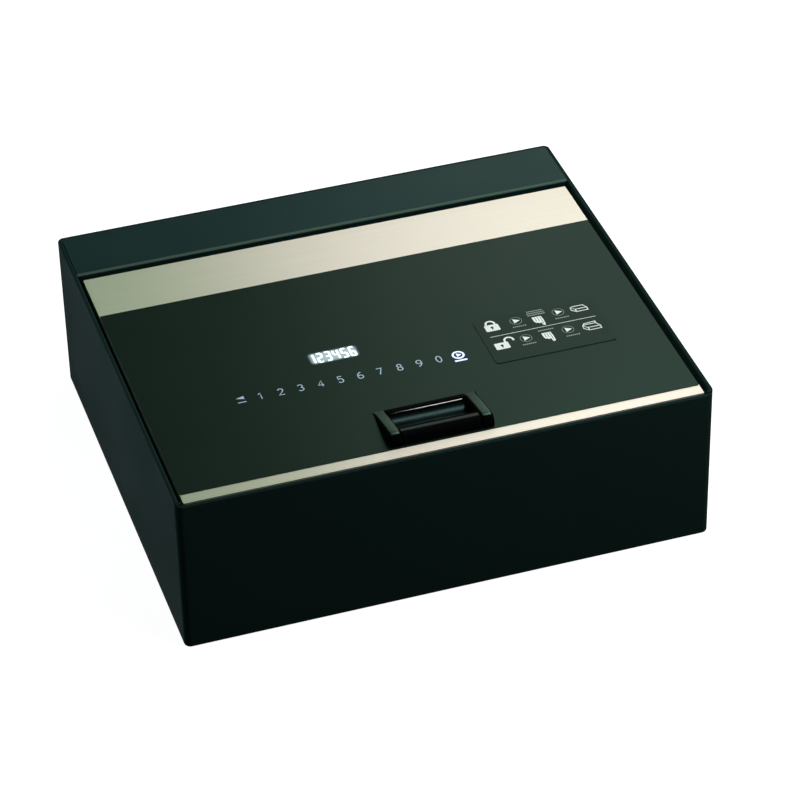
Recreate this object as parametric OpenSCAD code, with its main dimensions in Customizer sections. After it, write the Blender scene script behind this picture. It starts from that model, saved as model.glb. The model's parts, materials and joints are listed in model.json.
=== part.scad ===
// Top-opening safe: a folded steel tub with a hinged lid that sinks between its walls.
// Millimetres. X runs across the front, Y from front to hinge, Z up from the underside.
// The origin is the middle of the underside of the tub.

/* [Body] */
// Outer width of the tub
body_w = 400; // [380:5:460]
// Outer depth of the tub, front to back
body_d = 350; // [340:5:400]
// Outer height of the side walls
body_h = 130; // [125:1:200]
// Thickness of the steel walls
wall_t = 3; // [2:0.5:4]
// Thickness of the steel floor
floor_t = 3; // [2:0.5:6]
// Outer radius of the upright corners
corner_r = 5; // [4.5:0.5:10]
// Outer radius of the fold along the underside
fold_r = 2; // [0.5:0.5:3]
// Thickness of the floor mat
mat_t = 2; // [1:0.5:5]
// Gap round the floor mat
mat_gap = 1; // [0.5:0.5:4]

/* [Anchor holes] */
// Spacing of the floor anchor holes across the tub
anchor_span_x = 300; // [200:10:320]
// Spacing of the floor anchor holes front to back
anchor_span_y = 200; // [140:10:240]
// Diameter of each floor anchor hole
anchor_d = 10; // [6:1:14]
// Diameter of the cut-out that the mat leaves round each anchor bolt
anchor_relief_d = 26; // [18:1:40]

/* [Rear deck] */
// Depth of the fixed deck behind the lid
deck_depth = 53.5; // [50:0.5:60]
// Thickness of the deck sheet
deck_t = 2; // [1.5:0.5:3]
// Outer radius of the deck's front fold
deck_fold_r = 2.2; // [2.2:0.2:5]
// Height of the deck's front skirt
deck_skirt = 25; // [20:1:32]
// Height of the deck's side and rear flanges
deck_flange = 16; // [10:1:24]
// Seam between the deck and the walls
seam = 0.3; // [0.2:0.1:0.5]

/* [Lid rest frame] */
// Thickness of the angle frame that the lid comes down on
frame_t = 3; // [2:0.5:4]
// Width of the frame's front ledge, which the bolts hook under
frame_front = 14; // [12:0.5:15]
// Width of the frame's side ledges
frame_side = 12; // [10:0.5:14]
// Height of the frame's upright legs
frame_leg = 15; // [10:1:20]
// Drop from the underside of the lid plate to the frame
frame_drop = 3; // [2:0.5:4]
// Radius of the rubber buffers on the frame
buffer_r = 3.5; // [2.5:0.5:4.5]

/* [Lid] */
// How far the lid lies below the side walls
lid_recess = 3; // [2:0.5:5]
// Gap between the lid and each side wall
lid_gap_side = 3.5; // [3:0.5:5]
// Gap between the lid and the front wall
lid_gap_front = 0.7; // [0.6:0.1:1.2]
// Gap between the lid and the deck
lid_gap_rear = 4.5; // [4:0.1:6]
// Thickness of the steel lid plate
plate_t = 4; // [3:0.5:5]
// Thickness of the brushed cover sheet wrapped over the plate
sheet_t = 1.2; // [0.8:0.1:1.5]
// Radius of the lid's upright corners
lid_corner_r = 1; // [0.8:0.2:4]

/* [Control panel] */
// Thickness of the black control panel
panel_t = 0.6; // [0.4:0.1:2]
// Width of the brushed strip left bare in front of the panel
strip_front = 9.8; // [6:0.2:14]
// Width of the brushed strip left bare behind the panel
strip_rear = 51; // [40:1:60]
// Distance from the panel's front edge to the row of touch digits
digits_y = 92.8; // [88:0.2:96]
// Spacing of the touch digits
digit_pitch = 15; // [12:0.5:16]
// Number of touch fields in the row
digit_count = 12; // [10:1:12]
// Middle of the row of touch fields
digits_x = -40.2; // [-44:0.2:-36]
// Width of the touch board past the last field
touch_margin = 9; // [8:0.5:10]
// Thickness of the touch board
touch_t = 1.6; // [1:0.2:2]
// Distance from the panel's front edge to the middle of the display
display_y = 124; // [122:0.5:128]
// Middle of the display
display_x = -44; // [-50:0.5:-40]
// Width of the display block
display_w = 46; // [40:0.5:50]
// Depth of the display block
display_d = 17; // [14:0.5:19]
// Height of the display block
display_h = 6.5; // [5:0.5:7]

/* [Instruction label] */
// Width of the instruction label
label_w = 94; // [80:1:96]
// Depth of the instruction label
label_d = 56; // [50:1:60]
// Thickness of the instruction label
label_t = 0.4; // [0.2:0.1:0.8]
// Corner radius of the instruction label
label_r = 3; // [1:0.5:6]
// Distance from the lid's right edge to the label
label_inset = 35; // [24:1:38]
// Distance from the panel's front edge to the middle of the label
label_y = 100; // [90:1:120]

/* [Pull handle] */
// Overall width of the pull handle
grip_w = 78; // [70:1:90]
// Overall depth of the pull handle
grip_d = 44; // [42:1:50]
// Height of the pull handle over the panel
grip_h = 8.5; // [7.5:0.5:12]
// Width of each cheek
cheek_w = 9.5; // [8.5:0.5:12]
// Radius of the rounded nose
nose_r = 7; // [6:0.5:7.5]
// Wall of the hooked grip bar
bar_t = 3.2; // [2.4:0.2:3.6]
// Depth of the finger scoop below the panel
scoop_depth = 10; // [8:0.5:11]
// Wall of the finger scoop
scoop_t = 1.5; // [1:0.1:2]

/* [Hinges] */
// Angle at which the stop tabs catch the open lid
open_angle = 75; // [60:5:80]
// Radius of each hinge pin
pin_r = 2.5; // [2:0.1:3]
// Radial running clearance on the pins, bolts and shaft
fit = 0.05; // [0.02:0.01:0.1]
// Metal round each pin hole
eye_wall = 2.5; // [1.5:0.1:3]
// Thickness of the hinge ears and lugs
ear_t = 2.5; // [2:0.5:4]
// Distance from the pin down to the bracket's foot
hinge_foot_drop = 26; // [22:1:30]
// Wire radius of the torsion springs
wire_r = 1.3; // [1:0.1:1.4]
// Turns of each torsion spring
spring_turns = 13; // [9:1:14]
// Length of the spring's legs
spring_leg = 22; // [16:1:24]

/* [Bolt work] */
// Radius of each locking bolt
bolt_r = 7; // [5:0.5:7]
// Distance between the two locking bolts
bolt_span = 190; // [180:2:196]
// Length of each locking bolt
bolt_len = 52; // [48:1:56]
// Travel of the bolts when they lock
bolt_throw = 12; // [10:0.5:12]
// Gap between the frame's ledge and a drawn-back bolt
bolt_back_gap = 2; // [1.5:0.1:2.5]
// Height of the crossbar that carries the bolts
crossbar_h = 10; // [8:0.5:12]
// Depth of the crossbar
crossbar_d = 8; // [6:0.5:9]
// Module of the rack and pinion
gear_module = 1; // [0.9:0.05:1.1]
// Teeth on the drive pinion
pinion_teeth = 18; // [17:1:20]
// Play between the teeth, measured along the pitch line
lash = 0.2; // [0.1:0.05:0.3]
// Face width of the rack and pinion
gear_face = 6; // [4:0.5:7]
// Radius of the pinion shaft
shaft_r = 2; // [1.5:0.1:3]

/* [Lock case] */
// Depth of the lock case below the lid plate
case_h = 24.8; // [24:0.2:30]
// Wall of the lock case
case_t = 1.5; // [1.5:0.1:2]
// Width of the lock case
case_w = 270; // [264:2:280]
// Room between the display and the lock case's rear wall
case_room = 2; // [1:0.5:6]
// Width of the lock case's screw flange
case_flange = 9; // [8:0.5:12]

/* [Battery bay] */
// Radius of one battery cell
cell_r = 7.1; // [6.8:0.1:7.2]
// Length of one battery cell with its button
cell_len = 50.5; // [48:0.5:51]
// Number of battery cells
cell_count = 4; // [2:1:4]
// Wall of the battery tray
tray_t = 1.5; // [1:0.1:2]
// Thickness of the battery door
door_t = 1.5; // [1:0.1:2]

/* [Hidden] */
$fn = 48;

// Small gap between pieces that are set together or rest on each other
rest_gap = 0.3;
// Slip gap between pieces of one assembly
slip = 0.15;

// Tub
half_w = body_w / 2;
half_d = body_d / 2;
inner_x = half_w - wall_t;
inner_y = half_d - wall_t;
inner_corner_r = corner_r - wall_t;
underside_r = min(fold_r, wall_t - 0.5);

// Heights through the lid, from the top down
lid_top = body_h - lid_recess;
plate_top = lid_top - sheet_t;
plate_bottom = plate_top - plate_t;
panel_top = lid_top + panel_t;

// Deck
deck_half_w = inner_x - seam;
deck_front = half_d - deck_depth;
deck_back = inner_y - seam;
deck_bend_r = max(deck_fold_r, deck_t + 0.2);

// Plan of the lid
lid_rear = deck_front - lid_gap_rear;
lid_front = -inner_y + lid_gap_front;
lid_half_w = inner_x - lid_gap_side;
panel_front = lid_front + strip_front;
panel_rear = lid_rear - strip_rear;
panel_inset = 0.3;

// Coil of each torsion spring
coil_play = 0.7;
coil_r = pin_r + coil_play + wire_r;
coil_gap = 0.5;
spring_pitch = 2 * wire_r + coil_gap;
coil_steps = 8;
wire_sides = 6;

// Hinge line: far enough below and in front of the lid's rear edge to swing clear of the deck
eye_r = pin_r + eye_wall;
hinge_z = plate_bottom - max(eye_r, coil_r + wire_r) - rest_gap;
swing_clearance = 0.5;
hinge_rise = lid_top - hinge_z;
hinge_play = lid_gap_rear - swing_clearance;
hinge_inset = max(8, (hinge_rise * hinge_rise - hinge_play * hinge_play) / (2 * hinge_play));
hinge_y = lid_rear - hinge_inset;

// Hinge brackets, measured inwards from the side wall
wall_pad_t = 2.5;
ear_outer = 6 + ear_t;
spring_room = (spring_turns + 0.5) * spring_pitch + 4;
lug_near = ear_outer + spring_room;
lug_far = lug_near + ear_t + 1;
ear_inner = lug_far + 2 + ear_t;
hinge_foot_z = hinge_z - hinge_foot_drop;
foot_t = 2.5;
foot_half = 2 * eye_r;
pad_h = 16;
spring_rest_h = 8;
spring_rest_t = 2.5;
stud_r = pin_r;
stud_y = 0.6 * foot_half;
nut_h = 1.6 * stud_r;
nut_r = 1.84 * stud_r;
leaf_t = 2.5;
leaf_len = 38;
leaf_w = 24;
leaf_setback = 7.5;
leaf_screw_r = 0.8 * pin_r;

// Rest frame
frame_top = plate_bottom - frame_drop;
frame_under = frame_top - frame_t;
frame_rear = hinge_y - 17;
frame_edge = -inner_y + frame_front;

// Touch board and display
touch_w = (digit_count - 1) * digit_pitch + 2 * touch_margin;
touch_front = panel_front + digits_y - 9;
touch_rear = panel_front + display_y + 11;
touch_x = digits_x;

// Pull handle, in its own side view: s runs back from its front face, t up from the panel
grip_front = panel_front + 2;
grip_half = grip_w / 2;
cheek_in = grip_half - cheek_w;
nose_t = grip_h - nose_r;
slope_bulge = 0.7;
bar_depth = nose_r + 5.8;
bar_lip_t = 4;
scoop_half_s = 17.2;
scoop_mid_s = 22.3;
scoop_r = (scoop_half_s * scoop_half_s + scoop_depth * scoop_depth) / (2 * scoop_depth);
scoop_axis_t = scoop_r - scoop_depth;
scoop_out_half_s = sqrt(pow(scoop_r + scoop_t, 2) - pow(scoop_axis_t, 2));
scoop_end_x = cheek_in + scoop_t;
grip_screw_y = 20;
grip_screw_r = 1.5;

// Bolt work, hung below the lid plate
case_bottom = plate_bottom - case_h;
case_front = frame_edge + 4;
case_rear = panel_front + display_y + display_d / 2 + case_room + case_t;
case_d = case_rear - case_front;
bolt_z = frame_under - 1.3 - bolt_r;
bolt_tip = frame_edge + bolt_back_gap;
bolt_tail = bolt_tip + bolt_len;
guide_w = 24;
guide_d = 15;
guide_front = case_front + case_t + 2;
crossbar_front = bolt_tail;
crossbar_w = bolt_span + 2 * bolt_r + 6;
crossbar_z = bolt_z;
bolt_screw_r = 0.36 * bolt_r;

// Rack and pinion
pitch_r = gear_module * pinion_teeth / 2;
base_r = pitch_r * cos(20);
tip_r = pitch_r + gear_module;
root_r = pitch_r - 1.25 * gear_module;
tooth_pitch = PI * gear_module;
rack_x = -2 * pitch_r;
rack_w = 8 * gear_module;
rack_rear = crossbar_front + crossbar_d;
pinion_x = rack_x + pitch_r;
pinion_y = rack_rear + 24 * gear_module;
gear_z = crossbar_z - gear_face / 2;
rack_teeth_back = ceil(bolt_throw / tooth_pitch) + 3;
rack_teeth_front = floor((pinion_y - rack_rear) / tooth_pitch - 1);
rack_len = pinion_y - rack_rear + (rack_teeth_back + 0.5) * tooth_pitch;

// Gearbox and motor
gearbox_under = gear_z + gear_face + 1;
gearbox_w = 36;
gearbox_d = 30;
motor_r = 5.2;
motor_len = 26;

// Battery bay
cell_pitch = 2 * cell_r + 0.8;
cells_w = cell_count * cell_pitch;
cell_play = 4.5;
tray_w = cells_w + 2 * tray_t + 0.6;
tray_d = cell_len + cell_play + 2 * tray_t;
tray_x = 76;
tray_y = case_rear - case_t - 3 - tray_d / 2;
tray_floor = case_bottom + case_t + 0.5;
tray_h = 2 * cell_r + tray_t + 1;
cell_z = tray_floor + cell_r + 0.6;
door_w = tray_w + 6;
door_d = tray_d - 2;
door_gap = 0.3;
door_top = case_bottom - door_gap;
door_under = door_top - door_t;
rail_t = 1.6;
rail_lip = 2.2;

// Control board
board_x = -98;
board_w = case_w / 4.5;
board_d = 0.42 * case_d;
board_t = 1.6;
board_y = case_rear - case_t - 4 - board_d / 2;
board_top = plate_bottom - 4;
spacer_r = 2.6;

// Helpers

// A rectangle with exact round corners, centred on the origin
module rounded_rect(w, d, r) {
    square([w - 2 * r, d], center = true);
    square([w, d - 2 * r], center = true);
    for (x = [-1, 1], y = [-1, 1])
        translate([x * (w / 2 - r), y * (d / 2 - r)])
            circle(r);
}

// A plate with round corners whose underside lies at z
module rounded_plate(w, d, r, z, h) {
    translate([0, 0, z])
        linear_extrude(h)
            rounded_rect(w, d, r);
}

// A box given by its low and high corners
module block(low, high) {
    translate(low)
        cube(high - low);
}

// A side view in Y and Z, carried along X from x0 to x1
module along_x(x0, x1) {
    translate([x0, 0, 0])
        rotate([90, 0, 90])
            linear_extrude(x1 - x0)
                children();
}

// A cylinder along X
module rod_x(x0, x1, y, z, r) {
    translate([x0, y, z])
        rotate([0, 90, 0])
            cylinder(h = x1 - x0, r = r);
}

// A cylinder along Y
module rod_y(y0, y1, x, z, r) {
    translate([x, y1, z])
        rotate([90, 0, 0])
            cylinder(h = y1 - y0, r = r);
}

// A round-headed screw that points up, with its head below z
module screw_up(x, y, z, shank_r, shank_len, head_r, head_h) {
    difference() {
        translate([x, y, z - head_h])
            cylinder(h = head_h, r = head_r);
        translate([x, y, z - head_h - 1])
            cylinder(h = 1 + head_h * 0.6, r = head_r * 0.5, $fn = 6);
    }
    translate([x, y, z])
        cylinder(h = shank_len, r = shank_r);
}

// Left and right copies, mirrored about the middle plane
module on_side(side) {
    if (side > 0)
        children();
    else
        mirror([1, 0, 0])
            children();
}

// Tub

// Section of a wall, measured inwards from its outer face, with a round top edge
module wall_section(h) {
    difference() {
        union() {
            square([wall_t, h - wall_t / 2]);
            translate([wall_t / 2, h - wall_t / 2])
                circle(wall_t / 2);
        }
        difference() {
            translate([-1, -1])
                square([1 + underside_r, 1 + underside_r]);
            translate([underside_r, underside_r])
                circle(underside_r);
        }
    }
}

// A straight wall of the given length, standing on the +Y side of the origin
module straight_wall(len, h) {
    translate([-len / 2, 0, 0])
        rotate([90, 0, 90])
            linear_extrude(len)
                mirror([1, 0])
                    wall_section(h);
}

// A quarter-round corner in the +X +Y quarter
module corner_wall(h) {
    rotate_extrude(angle = 90)
        translate([corner_r, 0])
            mirror([1, 0])
                wall_section(h);
}

module body_shell() {
    color("#203030")
        difference() {
            union() {
                for (side = [-1, 1])
                    translate([side * half_w, 0, 0])
                        rotate([0, 0, -90 * side])
                            straight_wall(body_d - 2 * corner_r, body_h);
                translate([0, half_d, 0])
                    straight_wall(body_w - 2 * corner_r, body_h);
                translate([0, -half_d, 0])
                    rotate([0, 0, 180])
                        straight_wall(body_w - 2 * corner_r, lid_top);
                for (turn = [0:3])
                    translate([
                        (turn == 0 || turn == 3 ? 1 : -1) * (half_w - corner_r),
                        (turn < 2 ? 1 : -1) * (half_d - corner_r),
                        0
                    ])
                        rotate([0, 0, 90 * turn])
                            corner_wall(body_h);
                rounded_plate(body_w - 2 * underside_r, body_d - 2 * underside_r,
                    corner_r - underside_r, 0, floor_t);
                bracket_studs();
            }
            front_corner_drop();
            for (x = [-1, 1], y = [-1, 1])
                translate([x * anchor_span_x / 2, y * anchor_span_y / 2, -1])
                    cylinder(h = floor_t + 2, r = anchor_d / 2);
        }
}

// Rounds the side walls' front ends down to the height of the front wall
module front_corner_drop() {
    y = -half_d + corner_r;
    difference() {
        block([-half_w - 1, -half_d - 1, lid_top], [half_w + 1, y, body_h + 1]);
        rod_x(-half_w - 2, half_w + 2, y, lid_top, lid_recess);
    }
}

// Studs welded to the side walls, which carry the hinge brackets
module bracket_studs() {
    for (side = [-1, 1])
        on_side(side)
            for (y = [-1, 1])
                rod_x(inner_x - wall_pad_t - nut_h - 1, inner_x + 1, hinge_y + y * stud_y, pad_mid_z(), stud_r);
}

function pad_mid_z() = hinge_foot_z - pad_h / 2;

// Side view of the deck sheet: its front skirt, the fold and the flat top
module deck_section() {
    skirt_low = body_h - deck_skirt;
    fold = [deck_front + deck_bend_r, body_h - deck_bend_r];
    difference() {
        union() {
            translate(fold)
                circle(deck_bend_r);
            translate(fold)
                square([deck_back - fold[0], deck_bend_r]);
            translate([deck_front, skirt_low])
                square([deck_bend_r, deck_skirt - deck_bend_r]);
        }
        translate(fold)
            circle(deck_bend_r - deck_t);
        translate([deck_front + deck_t, skirt_low - 1])
            square([deck_depth, deck_skirt + 1 - deck_bend_r]);
        translate([fold[0], skirt_low - 1])
            square([deck_depth, deck_skirt + 1 - deck_t]);
    }
}

// Flange folded down along the sides and the rear of the deck
module deck_flanges() {
    translate([0, 0, body_h - deck_flange])
        linear_extrude(deck_flange - deck_t / 2)
            difference() {
                translate([-deck_half_w, deck_front + deck_t / 2])
                    square([2 * deck_half_w, deck_back - deck_front - deck_t / 2]);
                translate([-deck_half_w + deck_t, deck_front])
                    square([2 * (deck_half_w - deck_t), deck_back - deck_t - deck_front]);
            }
}

// The rear corners follow the round inside of the tub
module rear_deck() {
    color("#1f3631")
        intersection() {
            union() {
                along_x(-deck_half_w, deck_half_w)
                    deck_section();
                deck_flanges();
            }
            translate([0, deck_back - 2 * deck_depth, 0])
                rounded_plate(2 * deck_half_w, 4 * deck_depth, max(inner_corner_r, 1), 0, body_h + 1);
        }
}

module lid_rest_frame() {
    leg_low = frame_top - frame_leg;
    r = max(inner_corner_r, 1);
    color("#1b2b28")
        difference() {
            translate([0, 0, leg_low])
                linear_extrude(frame_leg)
                    intersection() {
                        rounded_rect(2 * inner_x, 2 * inner_y, r);
                        translate([-inner_x, -inner_y])
                            square([2 * inner_x, frame_rear + inner_y]);
                    }
            block([-inner_x + frame_t, -inner_y + frame_t, leg_low - 1],
                [inner_x - frame_t, inner_y, frame_under]);
            block([-inner_x + frame_side, frame_edge, frame_under - 1],
                [inner_x - frame_side, inner_y, frame_top + 1]);
        }
}

module rest_buffers() {
    h = frame_drop - rest_gap;
    side_x = inner_x - frame_side / 2 - 1;
    color("#101010") {
        for (x = [-1, 1])
            translate([x * bolt_span / 2, -inner_y + frame_front / 2, frame_top])
                cylinder(h = h, r = buffer_r);
        for (x = [-1, 1], y = [-0.45, 0.3])
            translate([x * side_x, y * inner_y, frame_top])
                cylinder(h = h, r = buffer_r);
    }
}

module floor_mat() {
    color("#2b2d30")
        difference() {
            rounded_plate(2 * (inner_x - mat_gap), 2 * (inner_y - mat_gap),
                max(inner_corner_r, 1), floor_t, mat_t);
            for (x = [-1, 1], y = [-1, 1])
                translate([x * anchor_span_x / 2, y * anchor_span_y / 2, floor_t - 1])
                    cylinder(h = mat_t + 2, r = anchor_relief_d / 2);
        }
}

// Hinges

// Side view of an ear: a round eye on a foot that widens downwards
module ear_outline() {
    difference() {
        union() {
            translate([hinge_y, hinge_z])
                circle(eye_r);
            polygon([
                [hinge_y - eye_r, hinge_z],
                [hinge_y + eye_r, hinge_z],
                [hinge_y + foot_half, hinge_foot_z],
                [hinge_y - foot_half, hinge_foot_z]
            ]);
        }
        translate([hinge_y, hinge_z])
            circle(pin_r + fit);
    }
}

// A point of the lid's side view, measured from the hinge line, once the lid stands open
function opened(y, z) =
    [hinge_y + y * cos(open_angle) + z * sin(open_angle), hinge_z - y * sin(open_angle) + z * cos(open_angle)];

// Side view of the tab that the rear face of the lug comes down on when the lid stands open
module stop_outline() {
    near = opened(eye_r, eye_r * 0.2);
    far = opened(eye_r, eye_r);
    polygon([near, far, [far[0], hinge_foot_z], [near[0], hinge_foot_z]]);
}

// Tab behind the spring's standing leg, which pushes rearwards against it
module spring_rest() {
    y = hinge_y + coil_r + wire_r + rest_gap;
    block([inner_x - ear_outer - 2 * wire_r - rest_gap, y, hinge_foot_z - 1],
        [inner_x - ear_outer + 1, y + spring_rest_t, hinge_foot_z + spring_rest_h]);
}

// U-shaped bracket on the side wall that carries both ends of a hinge pin, with the lid's stop tab
module hinge_bracket(side) {
    color("#8b8f92")
        on_side(side)
            difference() {
                union() {
                    along_x(inner_x - ear_outer, inner_x - ear_outer + ear_t)
                        ear_outline();
                    along_x(inner_x - ear_inner, inner_x - ear_inner + ear_t)
                        ear_outline();
                    block([inner_x - ear_inner, hinge_y - foot_half, hinge_foot_z - foot_t],
                        [inner_x, hinge_y + foot_half, hinge_foot_z]);
                    block([inner_x - wall_pad_t, hinge_y - foot_half, hinge_foot_z - pad_h],
                        [inner_x, hinge_y + foot_half, hinge_foot_z]);
                    along_x(inner_x - lug_far, inner_x - lug_near)
                        stop_outline();
                    spring_rest();
                }
                for (y = [-1, 1])
                    rod_x(inner_x - wall_pad_t - 1, inner_x + 1, hinge_y + y * stud_y, pad_mid_z(), stud_r + fit);
            }
}

module hinge_bracket_left() { hinge_bracket(-1); }
module hinge_bracket_right() { hinge_bracket(1); }

// Headed pin through both ears of a bracket
module hinge_pin(side) {
    color("#c9ccd0")
        on_side(side) {
            rod_x(inner_x - ear_inner - 1.5, inner_x - ear_outer + ear_t, hinge_y, hinge_z, pin_r);
            rod_x(inner_x - ear_outer + ear_t, inner_x - ear_outer + ear_t + 1.5, hinge_y, hinge_z, pin_r + 1);
        }
}

module hinge_pin_left() { hinge_pin(-1); }
module hinge_pin_right() { hinge_pin(1); }

module bracket_nuts() {
    color("#b7babd")
        for (side = [-1, 1])
            on_side(side)
                for (y = [-1, 1])
                    difference() {
                        translate([inner_x - wall_pad_t - nut_h, hinge_y + y * stud_y, pad_mid_z()])
                            rotate([0, 90, 0])
                                cylinder(h = nut_h, r = nut_r, $fn = 6);
                        rod_x(inner_x - wall_pad_t - nut_h - 1, inner_x, hinge_y + y * stud_y, pad_mid_z(), stud_r + fit);
                    }
}

// Middle line of a torsion spring: a leg, the coil and a second leg.
// The first leg stands down beside the outer ear and the second lies forwards under the lid plate,
// so the coil winds up as the lid closes.
function spring_path() =
    let(n = round(spring_turns * coil_steps + coil_steps / 4), step = spring_pitch / coil_steps)
    concat(
        [[0, coil_r, -spring_leg]],
        [for (i = [0:n]) let(a = 360 * i / coil_steps) [-step * i, coil_r * cos(a), coil_r * sin(a)]],
        [[-step * n, -spring_leg, coil_r]]
    );

// Least gap between turns of a coiled wire, from the points of its middle line
function least_gap(path, r) =
    min([for (i = [1:len(path) - 2], j = [i + coil_steps - 2:1:len(path) - 2]) norm(path[i] - path[j])]) - 2 * r;

echo(str("Least gap between the turns of a torsion spring: ", least_gap(spring_path(), wire_r), " mm"));

// Direction of the path at point i
function heading(path, i) =
    let(a = path[max(i - 1, 0)], b = path[min(i + 1, len(path) - 1)], d = b - a)
    d / norm(d);

// Ring of points round the path, turned by a fixed upward reference
function ring(path, i, r, sides) =
    let(
        d = heading(path, i),
        out = cross(d, [1, 0, 0]),
        u = out / norm(out),
        v = cross(d, u)
    )
    [for (k = [0:sides - 1]) path[i] + r * (cos(360 * k / sides) * u + sin(360 * k / sides) * v)];

// Round wire swept along a path
module wire(path, r, sides) {
    n = len(path);
    points = [for (i = [0:n - 1]) each ring(path, i, r, sides)];
    walls = [
        for (i = [0:n - 2], k = [0:sides - 1])
            let(a = i * sides + k, b = i * sides + (k + 1) % sides)
            each [[a, b + sides, b], [a, a + sides, b + sides]]
    ];
    first = [for (k = [1:sides - 2]) [0, k, k + 1]];
    last = [for (k = [1:sides - 2]) [(n - 1) * sides, (n - 1) * sides + k + 1, (n - 1) * sides + k]];
    polyhedron(points, concat(walls, first, last));
}

module torsion_spring(side) {
    color("#6f7478")
        on_side(side)
            translate([inner_x - ear_outer - wire_r - rest_gap, hinge_y, hinge_z])
                wire(spring_path(), wire_r, wire_sides);
}

module torsion_spring_left() { torsion_spring(-1); }
module torsion_spring_right() { torsion_spring(1); }

// Lug and flange under the lid plate that turn on a hinge pin
module hinge_leaf(side) {
    flange_low = plate_bottom - leaf_t;
    color("#8b8f92")
        on_side(side)
            difference() {
                union() {
                    along_x(inner_x - lug_far, inner_x - lug_near) {
                        translate([hinge_y, hinge_z])
                            circle(eye_r - rest_gap);
                        polygon([
                            [hinge_y - leaf_setback - 18, flange_low],
                            [hinge_y - eye_r * 0.5, hinge_z - eye_r * 0.8],
                            [hinge_y + eye_r - rest_gap, hinge_z],
                            [hinge_y + eye_r - rest_gap, plate_bottom],
                            [hinge_y - leaf_setback - 18, plate_bottom]
                        ]);
                    }
                    block([inner_x - lug_far - leaf_w, hinge_y - leaf_setback - leaf_len, flange_low],
                        [inner_x - lug_near, hinge_y - leaf_setback, plate_bottom]);
                }
                rod_x(inner_x - lug_far - 1, inner_x - lug_near + 1, hinge_y, hinge_z, pin_r + fit);
                for (k = [0:1])
                    translate([leaf_screw_x(), leaf_screw_y(k), flange_low - 1])
                        cylinder(h = leaf_t + 2, r = leaf_screw_r + fit);
            }
}

function leaf_screw_x() = inner_x - lug_far - leaf_w / 2;
function leaf_screw_y(k) = hinge_y - leaf_setback - 8 - 20 * k;

module hinge_leaf_left() { hinge_leaf(-1); }
module hinge_leaf_right() { hinge_leaf(1); }

module hinge_leaf_screws() {
    color("#b7babd")
        for (side = [-1, 1])
            on_side(side)
                for (k = [0:1])
                    screw_up(leaf_screw_x(), leaf_screw_y(k), plate_bottom - leaf_t, leaf_screw_r,
                        leaf_t + plate_t * 0.6, 1.8 * leaf_screw_r, leaf_screw_r);
}

// Lid

// Openings through the lid for the scoop and the display
module scoop_hole(clearance) {
    block([-scoop_end_x - clearance, grip_front + scoop_mid_s - scoop_out_half_s - clearance, plate_bottom - 1],
        [scoop_end_x + clearance, grip_front + scoop_mid_s + scoop_out_half_s + clearance, panel_top + 1]);
}

module display_hole(clearance) {
    block([display_x - display_w / 2 - clearance, panel_front + display_y - display_d / 2 - clearance, plate_bottom - 1],
        [display_x + display_w / 2 + clearance, panel_front + display_y + display_d / 2 + clearance, lid_top + 1]);
}

// Room for the touch board under the panel
module touch_pocket(clearance) {
    block([touch_x - touch_w / 2 - clearance, touch_front - clearance, lid_top - touch_t - clearance],
        [touch_x + touch_w / 2 + clearance, touch_rear + clearance, lid_top + 1]);
}

// Blind holes in the lid plate for the screws from below
module plate_screw_holes() {
    depth = plate_t * 0.7;
    for (side = [-1, 1])
        on_side(side)
            for (k = [0:1])
                translate([leaf_screw_x(), leaf_screw_y(k), plate_bottom - 1])
                    cylinder(h = depth + 1, r = leaf_screw_r + fit);
    for (p = cover_screw_places())
        translate([p[0], p[1], plate_bottom - 1])
            cylinder(h = depth + 1, r = 1.5 + fit);
    for (x = [-1, 1], y = [-1, 1])
        translate([board_x + x * (board_w / 2 - 5), board_y + y * (board_d / 2 - 5), plate_bottom - 1])
            cylinder(h = depth + 1, r = 1.2 + fit);
}

// Through holes for the handle's two screws
module handle_screw_holes(r) {
    for (x = [-1, 1])
        translate([x * (grip_half - cheek_w / 2), grip_front + grip_screw_y, plate_bottom - 1])
            cylinder(h = panel_top - plate_bottom + 4, r = r);
}

module lid_plate() {
    inset = sheet_t + slip;
    w = 2 * (lid_half_w - inset);
    d = lid_rear - lid_front - 2 * inset;
    color("#3a3f41")
        difference() {
            translate([0, (lid_rear + lid_front) / 2, 0])
                rounded_plate(w, d, max(lid_corner_r - inset, 0.3), plate_bottom, plate_t);
            scoop_hole(0.5);
            display_hole(0.5);
            touch_pocket(0.3);
            handle_screw_holes(grip_screw_r + 0.2);
            plate_screw_holes();
        }
}

module cover_sheet() {
    w = 2 * lid_half_w;
    d = lid_rear - lid_front;
    color("#d8cfc0")
        difference() {
            translate([0, (lid_rear + lid_front) / 2, 0])
                rounded_plate(w, d, lid_corner_r, plate_bottom, plate_t + sheet_t);
            translate([0, (lid_rear + lid_front) / 2, 0])
                rounded_plate(w - 2 * sheet_t, d - 2 * sheet_t, max(lid_corner_r - sheet_t, 0.3),
                    plate_bottom - 1, plate_t + 1);
            scoop_hole(0.5);
            display_hole(0.5);
            touch_pocket(0.3);
            handle_screw_holes(grip_screw_r + 0.2);
        }
}

module control_panel() {
    w = 2 * (lid_half_w - panel_inset);
    color("#1c2622")
        difference() {
            translate([0, (panel_front + panel_rear) / 2, 0])
                rounded_plate(w, panel_rear - panel_front, 0.8, lid_top, panel_t);
            scoop_hole(0.3);
            handle_screw_holes(grip_screw_r + 0.2);
        }
}

module instruction_label() {
    color("#26312d")
        translate([lid_half_w - label_inset - label_w / 2, panel_front + label_y, 0])
            rounded_plate(label_w, label_d, label_r, panel_top, label_t);
}

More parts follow.
